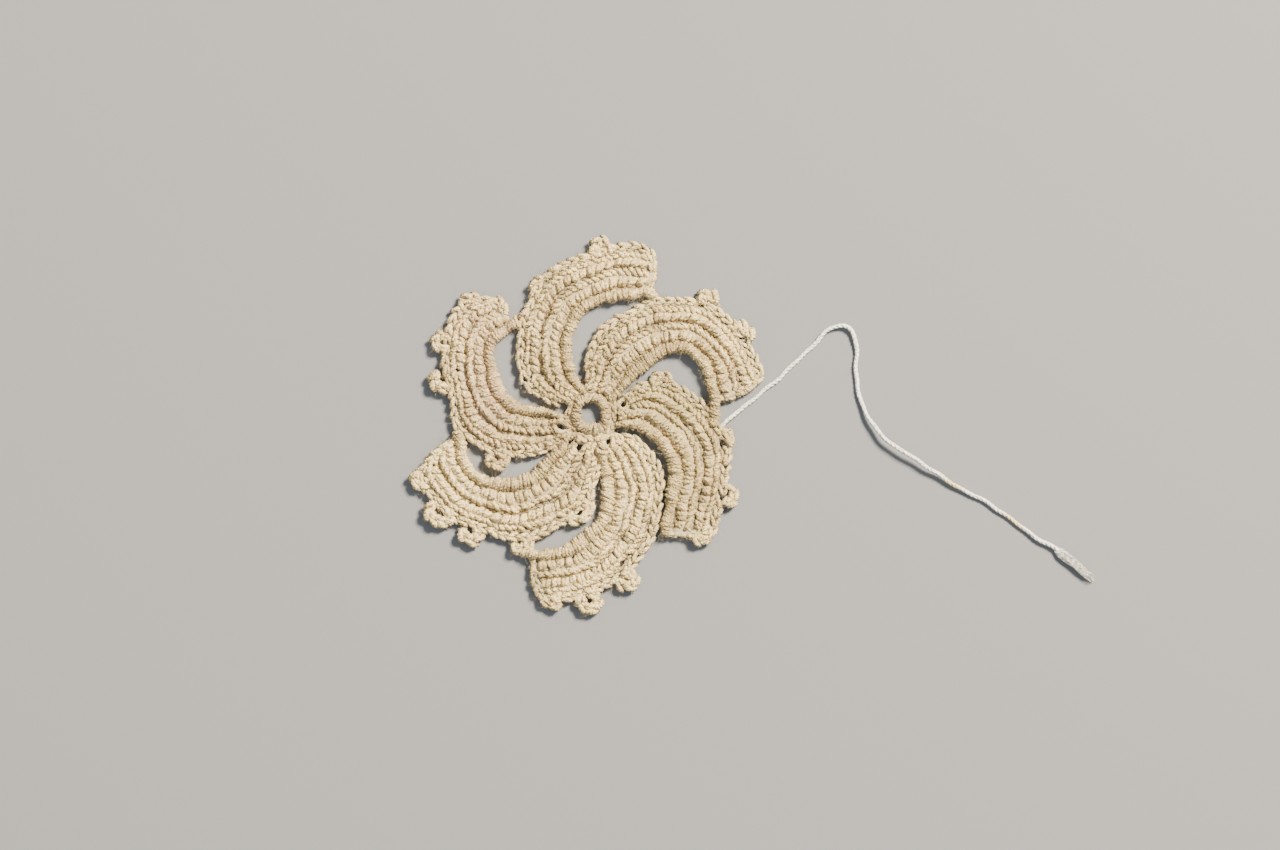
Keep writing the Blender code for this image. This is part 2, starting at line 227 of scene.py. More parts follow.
# %% How the cotton has aged
Spot = namedtuple("Spot", "x y reach paler gold")
SPOTS = [Spot(*row) for row in [
    (0.0, 0.0, 7.0, -0.30, 0.10), (5.7, 2.1, 3.6, -0.45, 0.60), (10.3, 2.0, 3.6, -0.35, 0.75),
    (10.7, -7.5, 2.6, -0.35, 0.60), (10.4, -12.0, 3.0, -0.55, 0.80), (14.5, -2.0, 4.5, -0.25, 0.45),
    (16.8, -11.8, 3.6, -0.05, 0.35), (3.8, 8.0, 4.2, -0.30, 0.15), (-5.3, 4.0, 2.8, -0.25, 0.20),
    (-6.0, 9.0, 3.0, -0.15, 0.25), (-14.0, 5.0, 4.2, -0.25, -0.45), (-12.5, -0.8, 4.2, -0.30, -0.40),
    (-8.2, -1.8, 3.2, -0.35, 0.10), (-15.7, 12.9, 4.4, 0.15, -0.50), (-10.0, 11.5, 2.8, -0.20, -0.30),
    (-21.0, -13.0, 4.6, 0.75, -0.10), (-15.5, -15.7, 3.6, 0.35, 0.00), (-0.8, -24.4, 4.0, 0.70, 0.10),
    (19.6, 11.0, 4.6, 0.60, 0.05), (14.0, 14.5, 4.0, 0.25, 0.15), (7.0, 19.8, 4.6, 0.45, -0.10),
    (-1.5, 20.5, 5.0, 0.30, -0.15), (-4.0, -5.3, 2.8, 0.10, -0.20), (4.0, -20.6, 3.6, 0.30, 0.30),
    (-5.8, -21.3, 3.2, -0.30, 0.35), (5.5, -9.0, 4.6, 0.35, 0.10), (-17.5, -8.5, 4.6, 0.40, -0.10),
    (21.5, 6.0, 3.0, 0.35, 0.30), (46.9, -9.2, 1.5, -0.60, 1.00), (54.7, -14.2, 1.8, -0.60, 1.00),
]]


def aged(points):
    """How much paler and how golden each point is: the sum of value * exp(-(distance / reach) squared)."""
    paler, gold = np.zeros(len(points)), np.zeros(len(points))
    for spot in SPOTS:
        away = points[:, :2] - (RING_AT + [spot.x, spot.y])
        near = np.exp(-(away ** 2).sum(axis=1) / spot.reach ** 2)
        paler += spot.paler * near
        gold += spot.gold * near
    return paler, gold


print(len(SPOTS), "spots")

# %% [markdown]
# ## The blades' sections
# Each row of a blade's table is one section across it: first the outside of the padded cord, then
# the rim, both from the ring's middle. A blade bows out past its last section, and its cord runs on
# into the rim of the next blade. The tones say how pale a blade is: the sample has aged unevenly.

# %% The blades' sections
Blade = namedtuple("Blade", "sections tip_bow cord_end tone")
BLADES = {
    "top": Blade([
        (-0.4, 3.2, -3.1, 1.2), (-1.3, 4.2, -5.5, 1.3), (-2.1, 5.9, -8.8, 3.4),
        (-2.3, 8.1, -9.8, 6.8), (-2.2, 10.1, -9.8, 10.3), (-1.5, 12.1, -8.8, 14.2),
        (-0.1, 13.4, -6.0, 18.6), (1.7, 14.2, -2.1, 20.5), (3.6, 14.7, 1.7, 22.0),
        (5.6, 14.9, 5.6, 22.4), (7.4, 15.2, 8.4, 21.6),
    ], 0.65, [(8.4, 14.9, 0.8)], 0.45),
    "upper_right": Blade([
        (3.0, 1.7, -1.0, 3.1), (4.9, 3.6, -1.0, 5.6), (6.6, 5.2, -0.5, 9.0),
        (8.1, 6.4, 1.3, 11.7), (9.5, 7.4, 4.3, 13.5), (11.1, 7.9, 7.9, 15.1),
        (12.6, 7.5, 12.9, 15.3), (13.9, 6.5, 16.8, 13.9), (14.8, 4.9, 19.9, 10.7),
        (15.1, 3.1, 22.0, 7.3), (15.3, 1.4, 22.8, 4.9),
    ], 1.0, [(16.0, 0.0, 0.74), (15.9, -1.6, 0.7)], 0.45),
    "right": Blade([
        (3.2, -1.8, 3.8, 1.3), (4.3, -1.8, 4.5, 2.7), (5.7, -2.1, 6.9, 4.5),
        (7.3, -2.9, 10.1, 4.5), (8.7, -4.2, 13.1, 3.0), (9.6, -5.9, 16.2, -0.1),
        (10.0, -7.5, 18.1, -3.1), (10.0, -9.4, 18.2, -6.4), (9.6, -11.3, 17.8, -9.6),
        (9.1, -13.4, 17.2, -12.7), (8.9, -15.6, 16.0, -16.2),
    ], 0.4, [(9.65, -15.75, 0.72)], 0.35),
    "bottom": Blade([
        (1.2, -3.4, 1.8, -2.7), (1.2, -5.6, 4.2, -2.5), (1.3, -7.9, 6.8, -3.4),
        (1.4, -10.0, 8.5, -5.6), (1.3, -11.8, 9.7, -8.3), (0.8, -13.7, 9.2, -11.4),
        (-0.4, -15.1, 8.9, -14.8), (-2.0, -16.2, 6.8, -18.6), (-3.8, -17.3, 4.0, -21.8),
        (-5.7, -17.6, -0.4, -23.8), (-7.7, -17.4, -6.2, -25.0),
    ], 1.0, [(-8.9, -17.9, 0.88)], 0.65),
    "lower_left": Blade([
        (-2.5, -2.7, 0.9, -3.5), (-4.5, -4.2, 1.5, -6.3), (-6.5, -5.9, 0.8, -9.4),
        (-7.8, -7.2, 0.0, -12.6), (-9.6, -8.0, -3.8, -14.7), (-11.7, -8.3, -8.3, -16.8),
        (-13.7, -7.9, -13.5, -15.7), (-15.2, -6.8, -18.1, -13.9), (-16.1, -5.2, -21.3, -10.8),
        (-16.2, -3.9, -22.8, -8.6), (-16.6, -2.9, -21.6, -6.2),
    ], 0.8, [(-17.4, -2.2, 0.95)], 0.7),
    "left": Blade([
        (-3.2, -0.1, -2.3, -2.5), (-5.6, 0.7, -5.1, -4.7), (-7.8, 1.2, -9.1, -5.9),
        (-9.8, 2.0, -13.5, -5.1), (-11.2, 3.5, -17.6, -2.5), (-12.1, 5.5, -18.3, 1.2),
        (-12.5, 7.3, -19.3, 4.9), (-12.3, 9.1, -19.5, 8.3), (-11.6, 9.9, -18.7, 12.2),
        (-10.8, 10.4, -17.0, 14.7), (-9.8, 11.1, -12.9, 15.3),
    ], 0.3, [(-9.3, 12.15, 1.2)], 0.5),
}
SECTION_STEPS = 220


def blade_edges(blade):
    """The cord's edge and the rim of a blade as two curves with matching points, from root to tip."""
    both = smooth_curve(blade.sections, SECTION_STEPS)
    shift = np.tile(RING_AT, 2)
    return (both + shift)[:, :2], (both + shift)[:, 2:]


print(len(BLADES), "blades of", len(BLADES["top"].sections), "sections")

# %% [markdown]
# ## Where a row lies on its blade
# A row of stitches keeps between two shares of the blade's width. The shares drift a little from
# the root to the tip, as the rows do on the real work. The row's line runs between them, and half
# its width goes with it. At the blade's end, `tip_points` goes from the cord to the rim and bows
# out as the blade does.

# %% Where a row lies
Row = namedtuple("Row", "line half_width")
CORD_SHARE = (0.235, 0.20)
CORD_HALF_MM = (0.45, 0.78)
NARROWEST_SHARE = 0.04
EASE_STEPS = 14
ROW_TRIM_MM = 0.95
ROOT_TRIM_MM = 0.35
CORD_EVERY = 12
CORD_STEPS = 300
RIM_EVERY = 9
RIM_STEPS = 400
RIM_TIP_SHARES = [0.86, 0.7, 0.54, 0.38, 0.24]
CORNER_SHARE = 0.7
TIP_INSET_SHARE = 0.85
TIP_BACK_STEPS = 8


def eased(points):
    """Each point averaged with its neighbours on both sides, as a hand eases a row's bends."""
    reach = EASE_STEPS
    before = 2 * points[0] - points[reach:0:-1]
    after = 2 * points[-1] - points[-2:-reach - 2:-1]
    padded = np.vstack([before, points, after])
    kernel = np.ones(2 * reach + 1) / (2 * reach + 1)
    return np.column_stack([np.convolve(column, kernel, "valid") for column in padded.T])


def cord_half_width(width):
    """Half the padded cord's width: width * cord share / 2, but never thinner than its padding."""
    return np.maximum(width * np.linspace(*CORD_SHARE, SECTION_STEPS) / 2,
                      np.linspace(*CORD_HALF_MM, SECTION_STEPS))


def blade_row(blade, near, far):
    """A row between two shares of the width, each given as (at the root, at the tip).

    The row's line is cord + (rim - cord) * middle share. It keeps clear of the padded cord, and stops
    short of the tip, where the rim's chain comes round.
    """
    cord, rim = blade_edges(blade)
    width = np.linalg.norm(rim - cord, axis=1)
    near = np.maximum(np.linspace(*near, SECTION_STEPS), 2 * cord_half_width(width) / width)
    far = np.maximum(np.linspace(*far, SECTION_STEPS), near + NARROWEST_SHARE)
    middle = (near + far) / 2
    points = eased(cord + (rim - cord) * middle[:, None])
    half_width = (far - near) / 2 * width
    walked = walked_along(points)
    trim = ROW_TRIM_MM - blade.tip_bow * math.sin(math.pi * middle[-1])
    kept = (walked <= walked[-1] - trim) & (walked >= ROOT_TRIM_MM)
    line = Line(points[kept], unit(rim - cord)[kept], walked[kept] - walked[kept][0], False)
    return Row(line, half_width[kept])


def cord_row(blade):
    """The padded cord: along the blade's edge, and on to its end (x, y, half its width there)."""
    cord, rim = blade_edges(blade)
    half_width = cord_half_width(np.linalg.norm(rim - cord, axis=1))[:, None]
    middle = np.column_stack([cord + unit(rim - cord) * half_width, half_width])
    end = np.array(blade.cord_end) + [*RING_AT, 0]
    route = smooth_curve(np.vstack([middle[::CORD_EVERY], end]), CORD_STEPS)
    return Row(line_through(route[:, :2]), route[:, 2])


def tip_frame(blade):
    """The last section's two ends and the direction in which the blade ends."""
    cord, rim = blade_edges(blade)
    middle = (cord + rim) / 2
    return cord[-1], rim[-1], unit((middle[-1] - middle[-1 - TIP_BACK_STEPS])[None])[0]


def tip_points(blade, share, inset):
    """Along the blade's end: low + (high - low) * share + onward * (bow * sin(pi share) - inset)."""
    low, high, onward = tip_frame(blade)
    share = share[:, None]
    return low + (high - low) * share + onward * (blade.tip_bow * np.sin(math.pi * share) - inset)


def rim_line(blade, inset):
    """The rim from the root to the tip, then round the corner and down the tip to the cord."""
    cord, rim = blade_edges(blade)
    side = rim - unit(rim - cord) * inset
    walked = walked_along(side)
    side = side[(walked < walked[-1] - inset * CORNER_SHARE) & (walked > ROOT_TRIM_MM)]
    tip = tip_points(blade, np.array(RIM_TIP_SHARES), inset * TIP_INSET_SHARE)
    return line_through(smooth_curve(np.vstack([side[::RIM_EVERY], tip]), RIM_STEPS))


lengths = [round(cord_row(blade).line.walked[-1], 1) for blade in BLADES.values()]
print("lengths of the padded cords, in millimetres:", lengths)

# %% [markdown]
# ## Thread as a mesh
# A thread is a tube along a path. At each point of the path a small ring of points is set at right
# angles to it. To keep the ring from spinning, each path comes with a core, which is the line that
# it winds around: the ring's first point looks away from the core. The tube also carries numbers
# for its material: a UV map, with the turn around the tube and the length along it in millimetres,
# and four attributes: `tone` for how pale it is, `gold` for its tint, `strand` to tell one stitch
# from the next, and `openness` for how open each point lies. Where it is low, the material paints
# dust and shade together, for both sit between the threads.
#
# Crochet cotton is three plies twisted together. `plied` takes a thread's path, sets evenly spaced
# points on it and winds three thinner strands around it.
#
# No two stitches are alike. `uneven` lets a number wander from one to the next. Its seed makes it
# wander the same way at each run, so every row, rim and loop has a seed of its own.

# %% Thread as a mesh
PLY_SIDES = 5
PLIES = 3
PLY_TWIST_MM = 1.35
PLY_POINT_MM = 0.28
PLY_SHARE = 0.64
FEWEST_POINTS = 4
Strand = namedtuple("Strand", "path core radius tone strand deep")


def strand(path, core, radius=THREAD_RADIUS, tone=0.5, number=0.0):
    """One thread, with its numbers spread to every point of its path."""
    spread = [np.broadcast_to(np.asarray(value, dtype=float), len(path))
              for value in (radius, tone, number)]
    return Strand(path, core, *spread, core)


def side_vectors(one):
    """At each point of the path, two directions square to it: away from the core, and beside that."""
    forward = unit(np.gradient(one.path, axis=0))
    away = one.path - one.core
    first = unit(away - (away * forward).sum(axis=1)[:, None] * forward)
    return first, np.cross(forward, first)


def plied(one, twist=PLY_TWIST_MM, point_mm=PLY_POINT_MM):
    """The thread as its plies: path + offset * (cos(a) * first + sin(a) * second).

    a = 2 pi * (length / twist + ply / plies), and offset = radius * (1 - ply share), so that the
    plies together are as thick as the thread.
    """
    walked = walked_along(one.path)
    places = np.linspace(0, walked[-1], max(FEWEST_POINTS, int(walked[-1] / point_mm)))
    path, core = (np.column_stack([np.interp(places, walked, column) for column in curve.T])
                  for curve in (one.path, one.core))
    radius, tone = np.interp(places, walked, one.radius), np.interp(places, walked, one.tone)
    number = one.strand[np.minimum(np.searchsorted(walked, places), len(walked) - 1)]
    even = Strand(path, core, radius, tone, number, core)
    first, second = side_vectors(even)
    plies = []
    for ply in range(PLIES):
        angle = 2 * math.pi * (places / twist + ply / PLIES)
        out = np.cos(angle)[:, None] * first + np.sin(angle)[:, None] * second
        offset = (radius * (1 - PLY_SHARE))[:, None]
        plies.append(Strand(path + offset * out, path, radius * PLY_SHARE, tone,
                            number * PLIES + ply, core))
    return plies


def tube_points(one, sides):
    """Rings of points around the path: path + radius * (cos(a) * first + sin(a) * second)."""
    first, second = side_vectors(one)
    angle = np.arange(sides) * 2 * math.pi / sides
    cosine, sine = np.cos(angle)[None, :, None], np.sin(angle)[None, :, None]
    ring = cosine * first[:, None, :] + sine * second[:, None, :]
    return one.path[:, None, :] + one.radius[:, None, None] * ring


def tube_openness(one, points):
    """How much each point of the tube lies open: 1 on the row's outside, -1 on the side facing its core.

    openness = (distance from the deep line - the thread's own distance from it) / the thread's radius.
    """
    from_deep = np.linalg.norm(points - one.deep[:, None, :], axis=2)
    reach = np.linalg.norm(one.core - one.deep, axis=1)[:, None]
    return (from_deep - reach) / (np.linalg.norm(one.path - one.core, axis=1) + one.radius)[:, None]


def tube_faces(count, sides, start):
    """Four-cornered faces between neighbouring rings, and one flat face on each end."""
    ring, side = np.meshgrid(np.arange(count - 1), np.arange(sides), indexing="ij")
    after = (side + 1) % sides
    corners = [ring * sides + side, ring * sides + after,
               (ring + 1) * sides + after, (ring + 1) * sides + side]
    quads = start + np.stack(corners, axis=-1).reshape(-1, 4)
    first_end = start + np.arange(sides)[::-1]
    last_end = start + (count - 1) * sides + np.arange(sides)
    return quads, first_end, last_end


def tube_uv(one, sides):
    """For each corner of each side face: the share of the turn around, and the length along."""
    along = walked_along(one.path)
    ring, side = np.meshgrid(np.arange(len(along) - 1), np.arange(sides), indexing="ij")
    turn = np.stack([side, side + 1, side + 1, side], axis=-1) / sides
    length = np.stack([along[ring], along[ring], along[ring + 1], along[ring + 1]], axis=-1)
    return np.stack([turn, length], axis=-1).reshape(-1, 2)


def thread_mesh(name, threads):
    """A mesh of worked threads: each is settled by the hand's pull, then made of its plies."""
    moved = [strand(settled(one.path), settled(one.core), one.radius, one.tone, one.strand)
             for one in threads]
    return mesh_from_strands(name, [ply for one in moved for ply in plied(one)], PLY_SIDES)


def mesh_from_strands(name, strands, sides):
    """One mesh of many closed tubes, with its UV map and attributes, in metres."""
    points, quads, ends, uv, tone, number, openness = [], [], [], [], [], [], []
    start = 0
    for one in strands:
        rings = tube_points(one, sides)
        points.append(rings.reshape(-1, 3))
        openness.append(tube_openness(one, rings).ravel())
        side_faces, *end_faces = tube_faces(len(one.path), sides, start)
        quads.append(side_faces)
        ends.extend(end_faces)
        uv.append(tube_uv(one, sides))
        tone.append(np.repeat(one.tone, sides))
        number.append(np.repeat(one.strand, sides))
        start += len(one.path) * sides
    quads, ends, points = np.vstack(quads), np.array(ends), np.vstack(points)
    paler, gold = aged(points)
    mesh = bpy.data.meshes.new(name)
    mesh.from_pydata(points * MM, [], quads.tolist() + ends.tolist())
    corner_uv = np.vstack([np.vstack(uv), np.zeros((ends.size, 2))])
    layer = mesh.uv_layers.new(name="thread")
    layer.data.foreach_set("uv", corner_uv.astype(np.float32).ravel())
    numbers = {"tone": np.concatenate(tone) + paler, "gold": gold,
               "strand": np.concatenate(number), "openness": np.concatenate(openness)}
    for attribute_name, values in numbers.items():
        attribute = mesh.attributes.new(attribute_name, "FLOAT", "POINT")
        attribute.data.foreach_set("value", values.astype(np.float32))
    mesh.shade_smooth()
    return mesh


def uneven(turn, seed, amount):
    """A value that wanders from stitch to stitch: random numbers at whole turns, joined by lines."""
    rng = np.random.default_rng(seed)
    knots = rng.normal(0, amount, int(abs(turn).max()) + 3)
    return np.interp(turn, np.arange(len(knots)), knots)


# %% [markdown]
# ## Yarn as a material
# Crochet cotton is several plies twisted together, and each ply is a bundle of fine fibres. Two
# node groups hold what every thread here shares. `plied_thread` makes the height of the plies and
# fibres from the UV map: a sine of (plies * turn + length / lay) gives ridges that wind around the
# thread, and the valleys between them. `aged_and_shaded_cotton` makes the colour: pale or ochre by
# the tone attribute, with small patches, stains and specks. It also paints shade: darker in the ply
# valleys, grey where the openness is low, which stands for dust and shade together, and brown deep
# down between the rows.

# %% A short way to make nodes
def add_node(tree, kind, place, **values):
    """A node of the kind at the place, with inputs set by name or number and settings by name."""
    node = tree.nodes.new(kind)
    node.location = place
    for key, value in values.items():
        if key.startswith("in_"):
            slot = key[3:]
            node.inputs[int(slot) if slot.isdigit() else slot.replace("_", " ")].default_value = value
        else:
            setattr(node, key, value)
    return node


def math_node(tree, operation, place, first, second=None):
    """A Math node whose inputs are numbers or other nodes' outputs."""
    node = tree.nodes.new("ShaderNodeMath")
    node.operation = operation
    node.location = place
    for index, value in enumerate((first, second)):
        if value is None:
            continue
        if isinstance(value, (int, float)):
            node.inputs[index].default_value = value
        else:
            tree.links.new(value, node.inputs[index])
    return node.outputs[0]


def group_tree(name, inputs, outputs):
    """An empty shader node group with named inputs (name, kind, value) and outputs (name, kind)."""
    tree = bpy.data.node_groups.new(name, "ShaderNodeTree")
    for label, kind, value in inputs:
        socket = tree.interface.new_socket(name=label, in_out="INPUT", socket_type=kind)
        socket.default_value = value
    for label, kind in outputs:
        tree.interface.new_socket(name=label, in_out="OUTPUT", socket_type=kind)
    return tree, add_node(tree, "NodeGroupInput", (-900, 0)), add_node(tree, "NodeGroupOutput", (900, 0))


def attribute(tree, place, name):
    """The value that the mesh carries under the name."""
    return add_node(tree, "ShaderNodeAttribute", place, attribute_name=name).outputs["Fac"]


def noise(tree, place, where, scale, detail=2.0, roughness=0.5):
    """The outputs of a noise that is read at `where`; a higher scale makes it finer."""
    node = add_node(tree, "ShaderNodeTexNoise", place, in_Scale=scale, in_Detail=detail,
                    in_Roughness=roughness)
    tree.links.new(where, node.inputs["Vector"])
    return node.outputs


# %% [markdown]
# A ply could be left smooth, but close up it is a bundle of fibres that lie at a slant. The ridges
# of the bundles come from the UV map. Noise stretched along them makes the streaks of single
# fibres, and noise over the whole work stands for matted fluff.

# %% The group that twists the plies
STREAKS_ACROSS = 5.0
STREAKS_ALONG = 0.9
STREAK_NOISE = (1.0, 3.0, 0.6)
MAT_SCALE = 3400.0


def make_plied_thread_group():
    """Height of the plies and fibres: |sin(pi * (plies * turn + length / lay))|, streaks and mats."""
    tree, inside, out = group_tree("plied_thread", [
        ("Plies", "NodeSocketFloat", 3.0),
        ("Lay", "NodeSocketFloat", 1.6),
        ("Fibres", "NodeSocketFloat", 0.35),
        ("Matting", "NodeSocketFloat", 9.0),
    ], [("Height", "NodeSocketFloat"), ("Valley", "NodeSocketFloat")])
    uv = add_node(tree, "ShaderNodeUVMap", (-900, 250), uv_map="thread")
    parts = add_node(tree, "ShaderNodeSeparateXYZ", (-720, 250))
    tree.links.new(uv.outputs[0], parts.inputs[0])
    turned = math_node(tree, "MULTIPLY", (-540, 320), parts.outputs[0], inside.outputs["Plies"])
    laid = math_node(tree, "DIVIDE", (-540, 160), parts.outputs[1], inside.outputs["Lay"])
    phase = math_node(tree, "ADD", (-380, 260), turned, laid)
    angle = math_node(tree, "MULTIPLY", (-220, 260), phase, math.pi)
    wave = math_node(tree, "ABSOLUTE", (60, 260), math_node(tree, "SINE", (-80, 260), angle))

    number = attribute(tree, (-900, -220), "strand")
    streak_across = math_node(tree, "MULTIPLY", (-220, 60), phase, STREAKS_ACROSS)
    streak_along = math_node(tree, "MULTIPLY", (-220, -80), parts.outputs[1], STREAKS_ALONG)
    place = add_node(tree, "ShaderNodeCombineXYZ", (-60, 0))
    for axis, value in enumerate((streak_across, streak_along, number)):
        tree.links.new(value, place.inputs[axis])
    fibres = noise(tree, (120, 0), place.outputs[0], *STREAK_NOISE)
    streaks = math_node(tree, "MULTIPLY", (300, 0), fibres["Fac"], inside.outputs["Fibres"])
    body = add_node(tree, "ShaderNodeTexCoord", (-60, -250)).outputs["Object"]
    mats = noise(tree, (120, -250), body, MAT_SCALE)
    matted = math_node(tree, "MULTIPLY", (300, -250), mats["Fac"], inside.outputs["Matting"])
    rough = math_node(tree, "ADD", (390, 0), streaks, matted)
    height = math_node(tree, "ADD", (480, 160), wave, rough)
    # The valley mask, 1 - the ply wave, is where the material paints shade between the plies.
    valley_shade_mask = math_node(tree, "SUBTRACT", (480, 320), 1.0, wave)
    tree.links.new(height, out.inputs["Height"])
    tree.links.new(valley_shade_mask, out.inputs["Valley"])
    return tree


# %% [markdown]
# Old cotton has no single colour. This group works from large to small: pale or ochre patches, a
# gold or pink tint, stains in many colours, specks and flecks. Then comes painted shade: darker in
# the valleys between the plies, greyer where a thread lies covered, which stands for dust and shade
# together, and dark between the rows. Each step mixes or multiplies what the last one made.
# `NOISES` gives each noise's scale, and its detail and roughness where they differ from the rest. A
# pair of edges says where a smooth step begins and where it ends.

# %% The group that ages the cotton
def mix_colours(tree, place, factor, first, second, blend="MIX"):
    """A colour Mix node; factor, first and second are values or other nodes' outputs."""
    node = add_node(tree, "ShaderNodeMix", place, data_type="RGBA", blend_type=blend)
    for slot, value in ((0, factor), (6, first), (7, second)):
        if isinstance(value, (int, float, tuple)):
            node.inputs[slot].default_value = value
        else:
            tree.links.new(value, node.inputs[slot])
    return node.outputs[2]


def smooth_step(tree, place, value, low, high):
    """0 below low, 1 above high and a smooth rise between them."""
    node = add_node(tree, "ShaderNodeMapRange", place, interpolation_type="SMOOTHSTEP",
                    in_1=low, in_2=high, in_3=0.0, in_4=1.0)
    tree.links.new(value, node.inputs[0])
    return node.outputs[0]


NOISES = {"patches": (260.0,), "mottle": (1700.0,), "stains": (2900.0,), "specks": (4300.0, 3.0, 0.7),
          "flecks": (5200.0,)}
PATCH_EDGES = (0.3, 0.7)
MOTTLE_EDGES = (0.35, 0.65)
PATCH_SHARE = 0.6
OWN_SHARE = 0.7
PALE_EDGES = (0.6, 2.35)
FULL_TINT = 1.1
STAIN_CONTRAST = 0.62
STAIN_LEVEL = 0.94
SPECK_EDGES = (0.32, 0.68)
GRAIN = (0.58, 1.20)
FLECK = (0.36, 0.30, 0.20, 1)
FLECK_EDGES = (0.62, 0.78)
FLECK_SHARE = 0.35
# VALLEY_SHADE is painted shade in the valleys between the plies; on the ground it follows the matting
# noise.
VALLEY_SHADE = (0.46, 0.41, 0.31, 1)
VALLEY_SHADE_SHARE = 0.35
# DUST_AND_SHADE greys the sides of a thread that face its core: partly dust, partly painted shade.
DUST_AND_SHADE = (0.56, 0.51, 0.38, 1)
DUST_AND_SHADE_SHARE = 0.75
OPEN_EDGES = (-0.25, 0.7)
# DEEP_SHADE_SHARE: how much painted shade the lowest threads take.
DEEP_SHADE_SHARE = 0.85


def make_aged_and_shaded_cotton_group():
    """The cotton's colour: pale or ochre by tone and patches, tinted and stained.

    Then it paints shade: darker in the ply valleys, greyer where a thread lies covered, which
    stands for dust and shade together, and dark deep down between the rows.
    """
    tree, inside, out = group_tree("aged_and_shaded_cotton", [
        ("Pale", "NodeSocketColor", (0.83, 0.74, 0.58, 1)),
        ("Ochre", "NodeSocketColor", (0.66, 0.52, 0.33, 1)),
        ("Deep", "NodeSocketColor", (0.28, 0.18, 0.09, 1)),
        ("Valley", "NodeSocketFloat", 0.0),
        ("Deepest", "NodeSocketFloat", 0.35),
        ("Shallowest", "NodeSocketFloat", 1.15),
        ("Dust", "NodeSocketFloat", DUST_AND_SHADE_SHARE),
        ("Golden", "NodeSocketColor", (0.60, 0.44, 0.17, 1)),
        ("Pink", "NodeSocketColor", (0.76, 0.48, 0.28, 1)),
    ], [("Color", "NodeSocketColor")])
    place = add_node(tree, "ShaderNodeTexCoord", (-1300, 500)).outputs["Object"]
    noises = {name: noise(tree, (-1100, 200 * row), place, *values)
              for row, (name, values) in enumerate(NOISES.items())}
    tone, number, tint, openness = (attribute(tree, (-900, 200 * row), name)
                                for row, name in enumerate(("tone", "strand", "gold", "openness")))

    each = add_node(tree, "ShaderNodeTexWhiteNoise", (-700, 100), noise_dimensions="1D")
    tree.links.new(number, each.inputs["W"])
    both = math_node(tree, "ADD", (-600, 600),
                     smooth_step(tree, (-700, 700), noises["patches"]["Fac"], *PATCH_EDGES),
                     smooth_step(tree, (-700, 900), noises["mottle"]["Fac"], *MOTTLE_EDGES))
    patch = math_node(tree, "MULTIPLY", (-520, 500), both, PATCH_SHARE)
    own = math_node(tree, "MULTIPLY", (-520, 100), each.outputs["Value"], OWN_SHARE)
    mixed = math_node(tree, "ADD", (-340, 300), math_node(tree, "ADD", (-430, 300), patch, own), tone)
    pale_share = smooth_step(tree, (-180, 300), mixed, *PALE_EDGES)
    cotton = mix_colours(tree, (0, 300), pale_share, inside.outputs["Ochre"], inside.outputs["Pale"])
    cotton = mix_colours(tree, (20, 400), smooth_step(tree, (-180, 1100), tint, 0.0, FULL_TINT),
                         cotton, inside.outputs["Golden"])
    cotton = mix_colours(tree, (40, 500), smooth_step(tree, (-180, 1300), tint, 0.0, -FULL_TINT),
                         cotton, inside.outputs["Pink"])

    stain = add_node(tree, "ShaderNodeVectorMath", (-100, 600), operation="MULTIPLY_ADD",
                     in_1=(STAIN_CONTRAST,) * 3, in_2=(STAIN_LEVEL - 0.5 * STAIN_CONTRAST,) * 3)
    tree.links.new(noises["stains"]["Color"], stain.inputs[0])
    cotton = mix_colours(tree, (100, 400), 1.0, cotton, stain.outputs[0], blend="MULTIPLY")
    grain = add_node(tree, "ShaderNodeMapRange", (-100, 800), in_1=SPECK_EDGES[0], in_2=SPECK_EDGES[1],
                     in_3=GRAIN[0], in_4=GRAIN[1])
    tree.links.new(noises["specks"]["Fac"], grain.inputs[0])
    cotton = mix_colours(tree, (140, 400), 1.0, cotton, grain.outputs[0], blend="MULTIPLY")
    fleck = smooth_step(tree, (-180, -150), noises["flecks"]["Fac"], *FLECK_EDGES)
    cotton = mix_colours(tree, (180, 200), math_node(tree, "MULTIPLY", (0, -150), fleck, FLECK_SHARE),
                         cotton, FLECK)

    # Painted shade: the valleys between the plies take a darker colour.
    shaded = math_node(tree, "MULTIPLY", (0, -300), inside.outputs["Valley"], VALLEY_SHADE_SHARE)
    cotton = mix_colours(tree, (300, 200), shaded, cotton, VALLEY_SHADE)
    # Dust and painted shade: where a point lies covered, its colour goes greyer.
    dust_and_shade_mask = math_node(tree, "SUBTRACT", (120, -600), 1.0,
                      smooth_step(tree, (0, -600), openness, *OPEN_EDGES))
    dust_and_shade_share = math_node(tree, "MULTIPLY", (240, -600), dust_and_shade_mask, inside.outputs["Dust"])
    cotton = mix_colours(tree, (430, 200), dust_and_shade_share, cotton, DUST_AND_SHADE)
    # Painted shade: the lower a point lies, the more it takes the Deep colour.
    parts = add_node(tree, "ShaderNodeSeparateXYZ", (-700, -400))
    tree.links.new(place, parts.inputs[0])
    up = math_node(tree, "MULTIPLY", (-520, -400), parts.outputs[2], 1 / MM)
    depth = add_node(tree, "ShaderNodeMapRange", (-180, -400), interpolation_type="SMOOTHSTEP",
                     in_3=1.0, in_4=0.0)
    for slot, value in enumerate((up, inside.outputs["Deepest"], inside.outputs["Shallowest"])):
        tree.links.new(value, depth.inputs[slot])
    deep_shade_share = math_node(tree, "MULTIPLY", (0, -450), depth.outputs[0], DEEP_SHADE_SHARE)
    colour = mix_colours(tree, (560, 100), deep_shade_share, cotton, inside.outputs["Deep"])
    tree.links.new(colour, out.inputs["Color"])
    return tree


PLIED_THREAD = make_plied_thread_group()
AGED_AND_SHADED_COTTON = make_aged_and_shaded_cotton_group()
print("node groups:", [group.name for group in bpy.data.node_groups])


